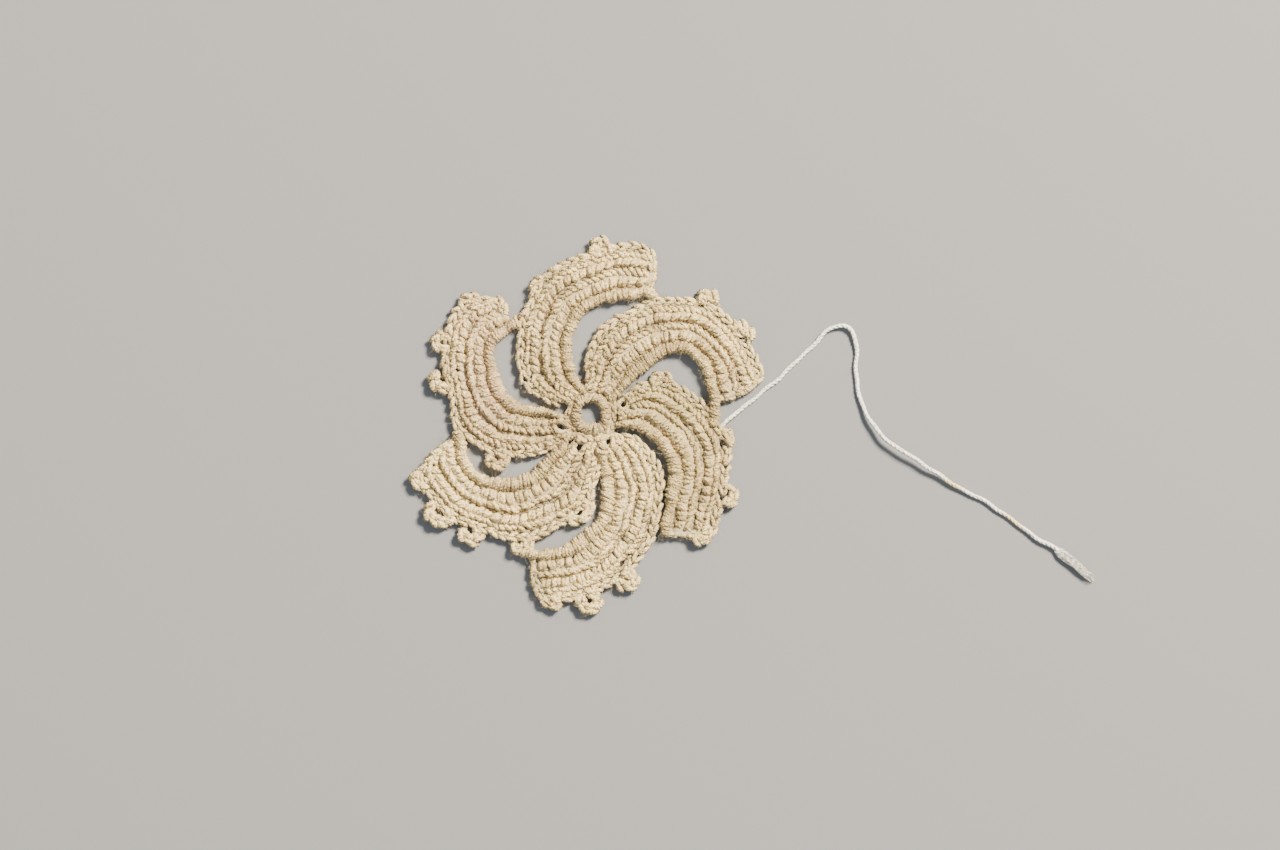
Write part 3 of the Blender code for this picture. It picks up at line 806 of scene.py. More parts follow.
# %% [markdown]
# One recipe makes the material of both threads. The Principled shader stays in the material, and
# the two groups feed its colour and, through a Bump node, its normal. Cotton is matt, with a faint
# sheen from the fibres that stand off it.

# %% The thread's material
THREAD_FINISH = {"Roughness": 0.82, "Specular IOR Level": 0.12, "Sheen Weight": 0.12,
                 "Sheen Tint": (1.0, 0.88, 0.66, 1), "Sheen Roughness": 0.5}
GOLDEN = (0.60, 0.44, 0.17, 1)
ROW_DEPTHS = (0.35, 1.3)
FIBRE_BUNDLES = 2.0
FIBRE_LAY_MM = 0.8
FIBRE_STREAKS = 0.6
FIBRE_RELIEF_MM = 0.03


def new_material(name, finish):
    """A material of one Principled shader, set to the finish's values."""
    material = bpy.data.materials.new(name)
    material.use_nodes = True
    shader = material.node_tree.nodes["Principled BSDF"]
    for label, value in finish.items():
        shader.inputs[label].default_value = value
    return material, shader


def add_surface(tree, shader, colour, height, relief):
    """The colour goes to the shader, and the height is raised by `relief` millimetres."""
    tree.links.new(colour, shader.inputs["Base Color"])
    bump = add_node(tree, "ShaderNodeBump", (-300, -200), in_Strength=1.0, in_Distance=relief * MM)
    tree.links.new(height, bump.inputs["Height"])
    tree.links.new(bump.outputs["Normal"], shader.inputs["Normal"])


def thread_material(name, pale, ochre, deep, gold=GOLDEN, depths=ROW_DEPTHS):
    """Matt cotton with a soft sheen, and painted shade low down between the rows.

    deep is the colour of that painted shade; depths are the heights that count as deepest and as open.
    """
    material, shader = new_material(name, THREAD_FINISH)
    tree = material.node_tree
    plied_group = add_node(tree, "ShaderNodeGroup", (-900, -200), node_tree=PLIED_THREAD,
                           in_Plies=FIBRE_BUNDLES, in_Lay=FIBRE_LAY_MM, in_Fibres=FIBRE_STREAKS)
    cotton = add_node(tree, "ShaderNodeGroup", (-600, 200), node_tree=AGED_AND_SHADED_COTTON,
                      in_Pale=pale, in_Ochre=ochre, in_Deep=deep, in_Golden=gold,
                      in_Deepest=depths[0], in_Shallowest=depths[1], in_Dust=DUST_AND_SHADE_SHARE)
    tree.links.new(plied_group.outputs["Valley"], cotton.inputs["Valley"])
    add_surface(tree, shader, cotton.outputs["Color"], plied_group.outputs["Height"], FIBRE_RELIEF_MM)
    return material


PALE = (1.0, 0.75, 0.33, 1)
OCHRE = (0.44, 0.29, 0.11, 1)
# DEEP_SHADE is painted shade for the threads that lie low between the rows.
DEEP_SHADE = (0.23, 0.22, 0.17, 1)
worked_thread = thread_material("worked_thread", PALE, OCHRE, DEEP_SHADE)

# %% [markdown]
# ## A piece of the work
# Every piece rides on the body of the imported model, stands for the motif's solid and takes the
# material that it is given.


# %% A piece of the work
def add_piece(name, mesh, material, node="motif"):
    """Put a finished mesh into the scene as a piece that stands for a solid of the frame."""
    mesh.materials.append(material)
    piece = bpy.data.objects.new(name, mesh)
    bpy.context.scene.collection.objects.link(piece)
    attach(piece, "root")
    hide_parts(node)
    triangles = sum(len(polygon.vertices) - 2 for polygon in mesh.polygons)
    print(name, triangles, "triangles")
    return piece


# %% [markdown]
# ## The loose thread
# The end of the thread lies beside the work, where it was cut. It keeps its real length, 72 mm, and
# its route has listed points, each with its height: it rests on the table here and there and
# bows up a little between. It is made of three plies that wind around the route, because on a
# single thread the twist is plain to see.

# %% The loose thread
TAIL_DIAMETER_MM = 0.6
TAIL_ROUTE = [
    (17.9, -0.8, 0.75), (19.4, 0.6, 0.45), (22.0, 2.7, 0.33), (24.6, 4.8, 0.33), (27.2, 7.3, 0.35),
    (29.8, 10.0, 0.45), (31.1, 11.1, 0.55), (32.4, 11.5, 0.60), (33.4, 11.2, 0.55), (34.1, 10.2, 0.45),
    (34.5, 8.0, 0.35), (34.5, 5.4, 0.34), (34.7, 3.0, 0.35), (35.4, 0.8, 0.55), (36.8, -1.7, 0.90),
    (38.9, -3.7, 1.10), (41.5, -5.5, 1.10), (44.1, -7.2, 0.85), (46.7, -8.9, 0.55), (50.0, -10.7, 0.35),
    (53.2, -12.7, 0.34), (56.4, -15.0, 0.35), (58.3, -16.3, 0.42),
    (60.2, -17.5, 0.50), (61.8, -18.7, 0.60), (63.6, -20.1, 0.62), (65.4, -21.8, 0.48),
]
TAIL_HIDDEN_MM = 1.3
TUFT_LENGTH_MM = 6.9
TAIL_TWIST_MM = 1.9
TAIL_POINT_MM = 0.16
TAIL_KINK_MM = 0.05
TAIL_KINKS = [(0.9, 0.0), (1.7, 1.0), (0.55, 0.0)]
TAIL_STEPS = 1200
TAIL_SIDES = 7
TAIL_LUMP_MM = 2.2
TAIL_LUMP_SHARE = 0.05
TAIL_SHADE_MM = 5.0
TAIL_TONE = 0.75
TAIL_SHADE = 0.25
TAIL_THINNEST = 0.4
TAIL_SEED = 31
LOOSE_PALE = (1.0, 0.97, 0.88, 1)
LOOSE_OCHRE = (0.94, 0.88, 0.74, 1)
# LOOSE_DEEP_SHADE is painted shade; the loose thread lies above its depths, so it never takes it.
LOOSE_DEEP_SHADE = (0.7, 0.62, 0.46, 1)
LOOSE_GOLDEN = (0.92, 0.70, 0.32, 1)
LOOSE_DEPTHS = (-1.0, -0.5)


def tail_route():
    """The route as a smooth curve with evenly spaced points, begun a little way under the rim.

    The thread keeps small kinks from the stitches that it was in: each point is moved sideways.
    """
    route = np.array(TAIL_ROUTE) + np.array([*RING_AT, 0])
    hidden = route[0] + unit(route[:1] - route[1:2])[0] * [TAIL_HIDDEN_MM, TAIL_HIDDEN_MM, 0]
    route = np.vstack([hidden, route])
    fine = smooth_curve(route, TAIL_STEPS)
    walked = walked_along(fine)
    places = np.arange(0, walked[-1], TAIL_POINT_MM)
    even = np.column_stack([np.interp(places, walked, column) for column in fine.T])
    kinks = TAIL_KINK_MM * sum(np.sin(places / length + start) for length, start in TAIL_KINKS)
    even[:, :2] += line_through(even[:, :2]).outward * kinks[:, None]
    return even, places


route, route_walked = tail_route()
tail_thread = thread_material("loose_thread", LOOSE_PALE, LOOSE_OCHRE, LOOSE_DEEP_SHADE,
                              LOOSE_GOLDEN, LOOSE_DEPTHS)
tail_lumps = uneven(route_walked / TAIL_LUMP_MM, TAIL_SEED, TAIL_LUMP_SHARE)
tail_taper = np.interp(route_walked, route_walked[-1] - [TUFT_LENGTH_MM, 0.0], [1.0, TAIL_THINNEST])
tail_radius = TAIL_DIAMETER_MM / 2 * (1 + tail_lumps) * tail_taper
tail_tone = TAIL_TONE + uneven(route_walked / TAIL_SHADE_MM, TAIL_SEED + 1, TAIL_SHADE)
tail_strand = strand(route, route - [0, 0, 1], tail_radius, tail_tone, number=3)
tail_plies = plied(tail_strand, TAIL_TWIST_MM, TAIL_POINT_MM)
tail = add_piece("thread_end", mesh_from_strands("thread_end", tail_plies, TAIL_SIDES),
                 tail_thread, "thread_tail")
print("loose thread", round(route_walked[-1], 1), "mm long")

# %% [markdown]
# ## The frayed end
# Where the thread was cut, its plies have come open into a tuft of straight fibres. The plies run on
# through the tuft and grow thinner. Each fibre starts in the thread, keeps its own place in the
# tuft's cross-section, and is cut off near the end. A few stand off at the sides.

# %% The frayed end
TUFT_FIBRES = 170
TUFT_POINTS = 14
TUFT_SHARES = [0.0, 0.2, 0.45, 0.8, 1.0]
TUFT_HALF_MM = [0.22, 0.60, 0.60, 0.45, 0.30]
TUFT_FLATNESS = 0.72
TUFT_SINK_MM = 0.1
TUFT_LOWEST_MM = 0.05
TUFT_SIDES = 3
TUFT_SEED = 5
STRAY_SHARE = 0.25
STRAY_MM = (0.1, 0.5)
FIBRE_BEGINS = 0.12
FIBRE_CUT_OFF = 0.34
FIBRE_CURL_MM = 0.07
FIBRE_BENDS = (4, 14)
FIBRE_RADIUS_MM = (0.028, 0.055)
FIBRE_TAPER = 0.6
FIBRE_TONE = (0.4, 1.2)


def tuft_fibre(rng, number):
    """One fibre: route + (side * cos(a) + up * flatness * sin(a)) * place * half width + curl."""
    share = np.linspace(rng.uniform(0, FIBRE_BEGINS), 1 - FIBRE_CUT_OFF * rng.random(), TUFT_POINTS)
    at = route_walked[-1] - TUFT_LENGTH_MM * (1 - share)
    middle = np.column_stack([np.interp(at, route_walked, column) for column in route.T])
    outward = line_through(middle[:, :2]).outward
    turn, place = rng.uniform(0, 2 * math.pi), rng.random() ** 0.5
    half = np.interp(share, TUFT_SHARES, TUFT_HALF_MM)
    stray = (rng.random() < STRAY_SHARE) * rng.uniform(*STRAY_MM) * (share - share[0]) ** 2
    curl = rng.normal(0, FIBRE_CURL_MM) * np.sin(share * rng.uniform(*FIBRE_BENDS))
    across = math.cos(turn) * place * half + math.copysign(1, math.cos(turn)) * stray + curl
    lift = middle[:, 2] - TUFT_SINK_MM + TUFT_FLATNESS * math.sin(turn) * place * half
    path = np.column_stack([middle[:, :2] + outward * across[:, None], np.maximum(lift, TUFT_LOWEST_MM)])
    radius = rng.uniform(*FIBRE_RADIUS_MM) * (1 - FIBRE_TAPER * share ** 6)
    return strand(path, path - [0, 0, 1], radius, rng.uniform(*FIBRE_TONE), number)


tuft_rng = np.random.default_rng(TUFT_SEED)
tuft = [tuft_fibre(tuft_rng, number) for number in range(TUFT_FIBRES)]
fray = add_piece("frayed_end", mesh_from_strands("frayed_end", tuft, TUFT_SIDES),
                 tail_thread, "thread_tail")

# %% [markdown]
# ## The ground of the work
# Under the loops that show, crochet is dense: thread over thread. One thin sheet stands for that
# ground. It follows the rows' ridges and grooves, lies a little below the loops, and closes the
# view through them. Its outline is a thread's width inside the rims.

# %% The ground of the work
GROUND_HEIGHTS = [
    (0.04, 0.50), (0.12, 0.95), (0.20, 0.85), (0.24, 0.70), (0.29, 1.08), (0.35, 1.18), (0.42, 1.14),
    (0.50, 1.00), (0.545, 0.75), (0.58, 0.65), (0.62, 0.98), (0.68, 1.12), (0.76, 0.98), (0.81, 0.78),
    (0.86, 0.62), (0.90, 0.68), (0.94, 0.45),
]
GROUND_UNDER_MM = 0.28
GROUND_FIRST_STEP = 8
GROUND_STEPS = 88
GROUND_SHARES = 40
GROUND_BOW = 0.5
GROUND_HOLE_MM = 0.30
CIRCLE_STEPS = 96
RING_GROUND_STEPS = 72
RING_GROUND = [(1.42, 0.6), (1.6, 1.1), (2.0, 1.32), (2.5, 1.15), (2.9, 0.85), (3.3, 0.85), (3.6, 0.45)]


def ground_blade(blade):
    """A grid of points cord + (rim - cord) * share, and the table's height at each."""
    cord, rim = blade_edges(blade)
    pick = np.linspace(GROUND_FIRST_STEP, SECTION_STEPS - 1, GROUND_STEPS).astype(int)
    table = np.array(GROUND_HEIGHTS)
    share = np.linspace(table[0, 0], table[-1, 0], GROUND_SHARES)
    flat = cord[pick][:, None] + (rim - cord)[pick][:, None] * share[None, :, None]
    onward = unit(flat[-1] - flat[-2]) * (blade.tip_bow * GROUND_BOW * np.sin(math.pi * share))[:, None]
    flat = np.concatenate([flat, (flat[-1] + onward)[None]])
    return flat, np.broadcast_to(np.interp(share, *table.T), flat.shape[:2])


def clockwise(steps):
    """Angles all the way round, clockwise; the last is the first again."""
    return -np.linspace(0, 2 * math.pi, steps + 1)


def ground_ring():
    """A grid that goes clockwise round under the ring's wraps: radius by angle."""
    angle = clockwise(RING_GROUND_STEPS)
    radius, heights = np.array(RING_GROUND).T
    flat = np.stack([np.cos(angle)[:, None] * radius, np.sin(angle)[:, None] * radius], axis=-1) + RING_AT
    return flat, np.broadcast_to(heights, flat.shape[:2])


def closed_shell(flat, top):
    """A grid as a closed thin shell with holes at the pinholes.

    A cell is left out where its middle is near a pinhole. A wall goes from the top to the underside
    wherever a cell has no neighbour.
    """
    rows, columns = flat.shape[:2]
    flat = pulled(flat.reshape(-1, 2)).reshape(rows, columns, 2)
    middles = (flat[:-1, :-1] + flat[1:, 1:]) / 2
    kept = pinhole_distance(middles.reshape(-1, 2)).reshape(rows - 1, columns - 1) > GROUND_HOLE_MM
    flat = parted(flat.reshape(-1, 2))
    points = np.vstack([np.column_stack([flat, top.ravel()]),
                        np.column_stack([flat, np.full(len(flat), GROUND_UNDER_MM)])])
    index = np.arange(rows * columns).reshape(rows, columns)
    corners = np.stack([index[:-1, :-1], index[1:, :-1], index[1:, 1:], index[:-1, 1:]], axis=-1)
    under = rows * columns
    faces = [corners[kept], corners[kept][:, ::-1] + under]
    ringed = np.pad(kept, 1)
    for side, (down, right) in enumerate([(0, -1), (1, 0), (0, 1), (-1, 0)]):
        edge = kept & ~ringed[1 + down:rows + down, 1 + right:columns + right]
        first, second = corners[..., side][edge], corners[..., (side + 1) % 4][edge]
        faces.append(np.stack([second, first, first + under, second + under], axis=-1))
    used, faces = np.unique(np.vstack(faces), return_inverse=True)
    return points[used], faces.reshape(-1, 4)


def make_ground_mesh():
    """The blades' shells and the ring's in one mesh."""
    points, faces, start = [], [], 0
    for flat, top in [ground_blade(blade) for blade in BLADES.values()] + [ground_ring()]:
        part_points, part_faces = closed_shell(flat, top)
        points.append(part_points)
        faces.append(part_faces + start)
        start += len(part_points)
    mesh = bpy.data.meshes.new("ground")
    mesh.from_pydata(np.vstack(points) * MM, [], np.vstack(faces).tolist())
    mesh.shade_smooth()
    return mesh


# %% [markdown]
# The ground shows only between the stitches: as cotton on the ridges, where the gaps are shallow,
# and as a dark brown deep in the grooves. The group `aged_and_shaded_cotton` already paints that
# shade by height. Here it gets darker colours, which are painted shade for the yarn under the
# loops, so little of the grey for dust and shade that the gaps stay warm, and a rough, matted surface.

# %% The ground's material
GROUND_FINISH = {"Roughness": 0.95, "Specular IOR Level": 0.1}
# The ground's colours are painted shade for the yarn under the loops: darker than the thread above.
SHADED_GROUND_PALE = (0.68, 0.50, 0.25, 1)
SHADED_GROUND_OCHRE = (0.50, 0.36, 0.17, 1)
GROUND_DEEP_SHADE = (0.14, 0.12, 0.08, 1)
GROUND_DUST_AND_SHADE = 0.15
GROUND_DEPTHS = (0.4, 1.0)
GROUND_NOISE = (2600.0, 3.0)
GROUND_RELIEF_MM = 0.12


def shaded_ground_material():
    """Matted cotton: the aged cotton's colours, darker as painted shade, raised by a fine noise."""
    material, shader = new_material("shaded_ground", GROUND_FINISH)
    tree = material.node_tree
    place = add_node(tree, "ShaderNodeTexCoord", (-900, 0)).outputs["Object"]
    matted = noise(tree, (-700, 0), place, *GROUND_NOISE)["Fac"]
    cotton = add_node(tree, "ShaderNodeGroup", (-600, 200), node_tree=AGED_AND_SHADED_COTTON,
                      in_Pale=SHADED_GROUND_PALE, in_Ochre=SHADED_GROUND_OCHRE, in_Deep=GROUND_DEEP_SHADE,
                      in_Dust=GROUND_DUST_AND_SHADE, in_Deepest=GROUND_DEPTHS[0], in_Shallowest=GROUND_DEPTHS[1])
    tree.links.new(matted, cotton.inputs["Valley"])
    add_surface(tree, shader, cotton.outputs["Color"], matted, GROUND_RELIEF_MM)
    return material


ground = add_piece("ground", make_ground_mesh(), shaded_ground_material())

# %% [markdown]
# ## Winding a thread
# Most of what shows is one movement: the thread goes up and over a row, down and back underneath,
# again and again. `wind` is that movement. Its turns come in pairs, as the two legs of a single
# crochet stitch do, and each turn leans and bulges a little differently: `WOUND` says how much each
# of its numbers wanders.

# %% Winding a thread
TURN_STEPS = 22
NARROWEST_MM = 0.12
CLEAR_MM = 0.01
FULLER = 0.10
Stitch = namedtuple("Stitch", "middle rise radius tone")
Wander = namedtuple("Wander", "along across sway rise radius tone")
WOUND = Wander(along=0.07, across=0.08, sway=0.16, rise=0.09, radius=0.13, tone=0.2)


def wind(line, half_width, count, stitch, seed, pair=0.07, lean=0.12, taper=0.0):
    """A thread wound `count` times around a row.

    turn runs from 0 to count. across = -half_width * cos(2 pi turn), height = middle + rise *
    sin(2 pi turn), and along = length * turn / count + pair * cos(pi (turn - 1/4)) + lean * across.
    The thread is a little fuller on top. Where taper isn't 0, it is pressed thinner on its inner side.
    """
    turn = np.linspace(0, count, int(count * TURN_STEPS) + 1)
    angle = 2 * math.pi * turn
    length = line.walked[-1]
    along = length * turn / count + pair * np.cos(math.pi * (turn - 0.25))
    along = along + uneven(turn, seed + 5, WOUND.along)
    half = np.interp(along, line.walked, half_width) if np.ndim(half_width) else half_width
    half = np.clip(half - stitch.radius, NARROWEST_MM, None) + uneven(turn, seed, WOUND.across)
    across = -half * np.cos(angle)
    along = along + (lean + uneven(turn, seed + 1, WOUND.sway)) * across
    lift = stitch.middle + (stitch.rise + uneven(turn, seed + 2, WOUND.rise)) * np.sin(angle)
    path = on_line(line, along, across, np.maximum(lift, stitch.radius + CLEAR_MM))
    core = on_line(line, along, across * 0.0, np.full(len(turn), stitch.middle))
    fat = stitch.radius * (1 + FULLER * np.sin(angle) + uneven(turn, seed + 3, WOUND.radius))
    fat *= 1 - taper * (0.5 + 0.5 * np.cos(angle))
    tone = stitch.tone + uneven(turn, seed + 4, WOUND.tone)
    return strand(path, core, fat, tone, np.floor(turn + 0.25) + seed)


# %% [markdown]
# ## A chain
# Along the top of every row the stitches leave a chain. From above, each loop of it is a leaf: it
# comes up at the side, runs forward over the loop before it and dives down at the middle. Then it
# crosses underneath and comes up again. Two threads that do this as mirror images make the V's of a
# chain, and one alone makes a row of slanted loops like a rope.

# %% A chain
LEAF = 0.29
LEAF_FULLER = 0.20
FEWEST_LOOPS = 3
CORE_UNDER_MM = 0.1
CHAINED = Wander(along=0.06, across=0.03, sway=0.3, rise=0.08, radius=0.10, tone=0.2)


def chain(line, apart, swing, stitch, pitch, seed, hands=(-1, 1)):
    """Threads that loop along a line, one turn each pitch.

    across = hand * (apart + swing * cos(2 pi turn)), height = middle + rise * sin(2 pi turn), and
    along = pitch * (turn - LEAF * cos(2 pi turn)), so that the upper half of a turn covers a whole
    pitch and more, and the lower half goes straight across. On a closed line the pitch is fitted to
    a whole number of turns.
    """
    length = line.walked[-1]
    count = max(FEWEST_LOOPS, round(length / pitch))
    turn = np.linspace(0, count, count * TURN_STEPS + 1)
    angle = 2 * math.pi * turn
    threads = []
    for hand in hands:
        base = seed + 10 * hand
        half = swing * (1 + uneven(turn, base, CHAINED.sway))
        across = hand * (apart + half * np.cos(angle)) + uneven(turn, base + 1, CHAINED.across)
        lift = stitch.middle + (stitch.rise + uneven(turn, base + 2, CHAINED.rise)) * np.sin(angle)
        along = length / count * (turn - LEAF * np.cos(angle)) + uneven(turn, base + 3, CHAINED.along)
        if line.closed:
            across[-1], lift[-1], along[-1] = across[0], lift[0], along[0] + length
        path = on_line(line, along, across, np.maximum(lift, stitch.radius + CLEAR_MM))
        core = on_line(line, along, np.full(len(turn), hand * apart),
                       np.full(len(turn), stitch.middle - CORE_UNDER_MM))
        fat = stitch.radius * (1 + LEAF_FULLER * np.sin(angle) + uneven(turn, base + 4, CHAINED.radius))
        tone = stitch.tone + uneven(turn, base + 5, CHAINED.tone)
        threads.append(strand(path, core, fat, tone, np.floor(turn + 0.25) + base))
    return threads


# %% [markdown]
# ## The padded cords
# Along its inner edge each blade has a cord: a few straight threads, covered all round by close
# turns of the working thread. The core closes the view between the turns.

# %% The padded cords
CORD_STITCH = Stitch(middle=0.86, rise=0.55, radius=0.29, tone=0.10)
CORD_CORE_SHARE = 0.80
CORD_CORE_HEIGHT_MM = 0.80
CORD_CORE_STEPS = 60
CORD_CORE_SIDES = 12
CORD_CORE_TONE = 0.1
CORD_TONE_SHARE = 0.5
CORD_SEED = 100
CORD_SEED_STEP = 40


def padded_cord(blade, seed):
    """The turns around one blade's cord."""
    line, half_width = cord_row(blade)
    count = round(line.walked[-1] / WRAP_PITCH)
    stitch = CORD_STITCH._replace(tone=CORD_STITCH.tone + CORD_TONE_SHARE * blade.tone)
    return wind(line, half_width, count, stitch, seed, pair=0.02, lean=0.08)


def cord_core(blade):
    """The padding of one blade's cord, as one thick strand."""
    line, half_width = cord_row(blade)
    along = np.linspace(0, line.walked[-1], CORD_CORE_STEPS)
    middle = settled(on_line(line, along, 0 * along, np.full(len(along), CORD_CORE_HEIGHT_MM)))
    radius = np.minimum(np.interp(along, line.walked, half_width), CORD_CORE_HEIGHT_MM) * CORD_CORE_SHARE
    return strand(middle, middle - [0, 0, 1], radius, CORD_CORE_TONE)


cords = [padded_cord(blade, CORD_SEED + CORD_SEED_STEP * number)
         for number, blade in enumerate(BLADES.values())]
padded_cords = add_piece("padded_cords", thread_mesh("padded_cords", cords), worked_thread)
cores = [cord_core(blade) for blade in BLADES.values()]
cord_padding = add_piece("cord_padding", mesh_from_strands("cord_padding", cores, CORD_CORE_SIDES),
                         worked_thread)

# %% [markdown]
# ## The rows of stitches
# Two ridges run along each blade. On each, the legs of the stitches stand side by side across the
# ridge, and a chain lies along its outer side, with a deep groove beyond.

# %% The rows of stitches
Ridge = namedtuple("Ridge", "near far stitch lean")
RIDGES = {
    "inner_ridges": Ridge((0.235, 0.20), (0.465, 0.425), Stitch(0.78, 0.45, 0.39, 0.02), 0.16),
    "outer_ridges": Ridge((0.60, 0.545), (0.79, 0.74), Stitch(0.76, 0.41, 0.385, 0.10), 0.38),
}
HEADS = {
    "inner_heads": Ridge((0.44, 0.40), (0.585, 0.54), Stitch(0.96, 0.25, 0.34, 0.05), 0.27),
    "outer_heads": Ridge((0.77, 0.72), (0.86, 0.81), Stitch(0.88, 0.25, 0.32, 0.15), 0.26),
}
# The groove threads' low tone, without the blade's own, is painted shade: it darkens them where they lie
# deep.
GROOVES = {
    "cord_grooves": Ridge((0.225, 0.19), (0.265, 0.23), Stitch(0.68, 0.14, 0.26, -0.3), 0.12),
    "deep_grooves": Ridge((0.57, 0.52), (0.61, 0.56), Stitch(0.62, 0.14, 0.26, -0.3), 0.12),
    "rim_grooves": Ridge((0.85, 0.80), (0.90, 0.85), Stitch(0.66, 0.14, 0.26, -0.1), 0.14),
}
HEAD_PITCH_MM = 0.80
GROOVE_PITCH_MM = 0.9
ROW_SEED = 1000
BLADE_SEED_STEP = 100
rows_worked = []


def on_blade(stitch, blade):
    """The stitch in the blade's own tone."""
    return stitch._replace(tone=stitch.tone + blade.tone)


def blade_stitches(blade, ridge, seed):
    """The legs of the stitches on one ridge of one blade."""
    row = blade_row(blade, ridge.near, ridge.far)
    count = 2 * round(row.line.walked[-1] / STITCH_PITCH)
    return wind(row.line, row.half_width, count, on_blade(ridge.stitch, blade), seed,
                pair=0.10, lean=ridge.lean)


def blade_heads(blade, ridge, seed):
    """The slanted loops along one ridge of one blade."""
    row = blade_row(blade, ridge.near, ridge.far)
    stitch = on_blade(ridge.stitch, blade)
    return chain(row.line, 0.0, ridge.lean, stitch, HEAD_PITCH_MM, seed, hands=(1,))[0]


def blade_groove(blade, ridge, seed):
    """The thread that lies deep in one groove of one blade, darker in tone as painted shade."""
    row = blade_row(blade, ridge.near, ridge.far)
    return chain(row.line, 0.0, ridge.lean, ridge.stitch, GROOVE_PITCH_MM, seed, hands=(1,))[0]


def add_rows(name, make_row, ridge, seed):
    """The same row of all blades as one piece."""
    rows = [make_row(blade, ridge, seed + BLADE_SEED_STEP * number)
            for number, blade in enumerate(BLADES.values())]
    rows_worked.extend(rows)
    return add_piece(name, thread_mesh(name, rows), worked_thread)


ridge_pieces = [add_rows(name, blade_stitches, ridge, ROW_SEED * number)
                for number, (name, ridge) in enumerate(RIDGES.items(), start=1)]
head_pieces = [add_rows(name, blade_heads, ridge, ROW_SEED * number)
               for number, (name, ridge) in enumerate(HEADS.items(), start=3)]
groove_pieces = [add_rows(name, blade_groove, ridge, ROW_SEED * number)
                 for number, (name, ridge) in enumerate(GROOVES.items(), start=12)]

# %% [markdown]
# ## The rims
# The last row of a blade is a broad chain, which turns the corner at the tip and comes down to the
# cord. It has had the most light and washing, so it is the palest. Where the rows stop at a blade's
# end, small loops of the turning thread lie just inside this chain.

# %% The rims
RIM_INSET_MM = 0.70
RIM_STITCH = Stitch(middle=0.72, rise=0.26, radius=0.29, tone=0.28)
RIM_PITCH_MM = 1.36
RIM_APART_MM = 0.24
RIM_SWING_MM = 0.19
TIP_LOOP_SHARES = np.linspace(0.06, 0.85, 9)
TIP_STEPS = 120
TIP_INSET_MM = 0.42
TIP_APART_MM = 0.12
TIP_SWING_MM = 0.16
TIP_STITCH = Stitch(middle=0.60, rise=0.24, radius=0.29, tone=0.2)
TIP_PITCH_MM = 1.0
RIM_SEED = 5000
TIP_SEED = 5700


def rim_chain(blade, seed):
    """The chain around one blade's rim and tip."""
    return chain(rim_line(blade, RIM_INSET_MM), RIM_APART_MM, RIM_SWING_MM, on_blade(RIM_STITCH, blade),
                 RIM_PITCH_MM, seed)


def tip_chain(blade, seed):
    """The small loops along one blade's end, a little inside it."""
    line = line_through(smooth_curve(tip_points(blade, TIP_LOOP_SHARES, TIP_INSET_MM), TIP_STEPS))
    return chain(line, TIP_APART_MM, TIP_SWING_MM, on_blade(TIP_STITCH, blade), TIP_PITCH_MM, seed)


rims = [one for number, blade in enumerate(BLADES.values())
        for one in rim_chain(blade, RIM_SEED + BLADE_SEED_STEP * number)
        + tip_chain(blade, TIP_SEED + BLADE_SEED_STEP * number)]
blade_rims = add_piece("blade_rims", thread_mesh("blade_rims", rims), worked_thread)

# %% [markdown]
# ## The picots
# A picot is a few chain stitches that leave the rim and come back to it, drawn up into a tight
# little loop. Each is a chain around most of an oval, which is open on the rim's side, with only a
# slit left in its middle. The table gives the oval's middle, its length and breadth over all, and
# how its length is turned.

# %% The picots
PICOTS = [
    (-7.0, 17.0, 2.9, 1.7, 52), (1.2, 21.8, 3.5, 2.9, 10), (15.3, 15.0, 3.6, 2.2, -12),
    (20.0, 10.7, 3.9, 2.1, -52), (9.2, 4.7, 3.4, 1.7, -8), (17.9, -3.1, 3.5, 1.8, -75),
    (18.2, -10.7, 3.5, 2.0, 72), (14.4, -16.2, 3.1, 1.8, 0), (4.9, -21.6, 3.4, 2.9, 55),
    (-0.1, -24.7, 3.5, 3.4, 20), (-5.2, -24.4, 3.4, 2.3, 0), (-1.2, -13.0, 4.2, 2.6, 45),
    (-8.8, -17.3, 3.6, 2.6, 20), (-15.6, -15.9, 3.8, 2.7, 5), (-19.9, -13.3, 4.4, 3.1, -25),
    (-22.2, -8.6, 3.1, 2.3, -35), (-12.2, -6.2, 3.6, 2.7, 5), (-19.9, 4.0, 3.9, 2.5, -55),
    (-19.8, 9.5, 3.1, 2.3, 80), (-15.7, 15.1, 3.9, 1.8, 8), (-11.8, 14.0, 3.4, 2.1, -45),
]
PICOT_STITCH = Stitch(middle=0.72, rise=0.30, radius=0.34, tone=0.8)
PICOT_PITCH_MM = 1.12
PICOT_HALF_MM = 0.97
PICOT_SLIT_MM = 0.10
PICOT_OVER_MM = 0.16
PICOT_ROOT_MM = 0.2
PICOT_REACH_DEG = 132
PICOT_WAVE = 0.08
PICOT_WAVES = 3
PICOT_STEPS = 48
PICOT_SHORTEST_MM = 0.5
PICOT_RADIUS_SHARE = 0.42
PICOT_APART_SHARE = 0.31
PICOT_SWING_SHARE = 0.25
PICOT_SEED = 7000
PICOT_SEED_STEP = 50


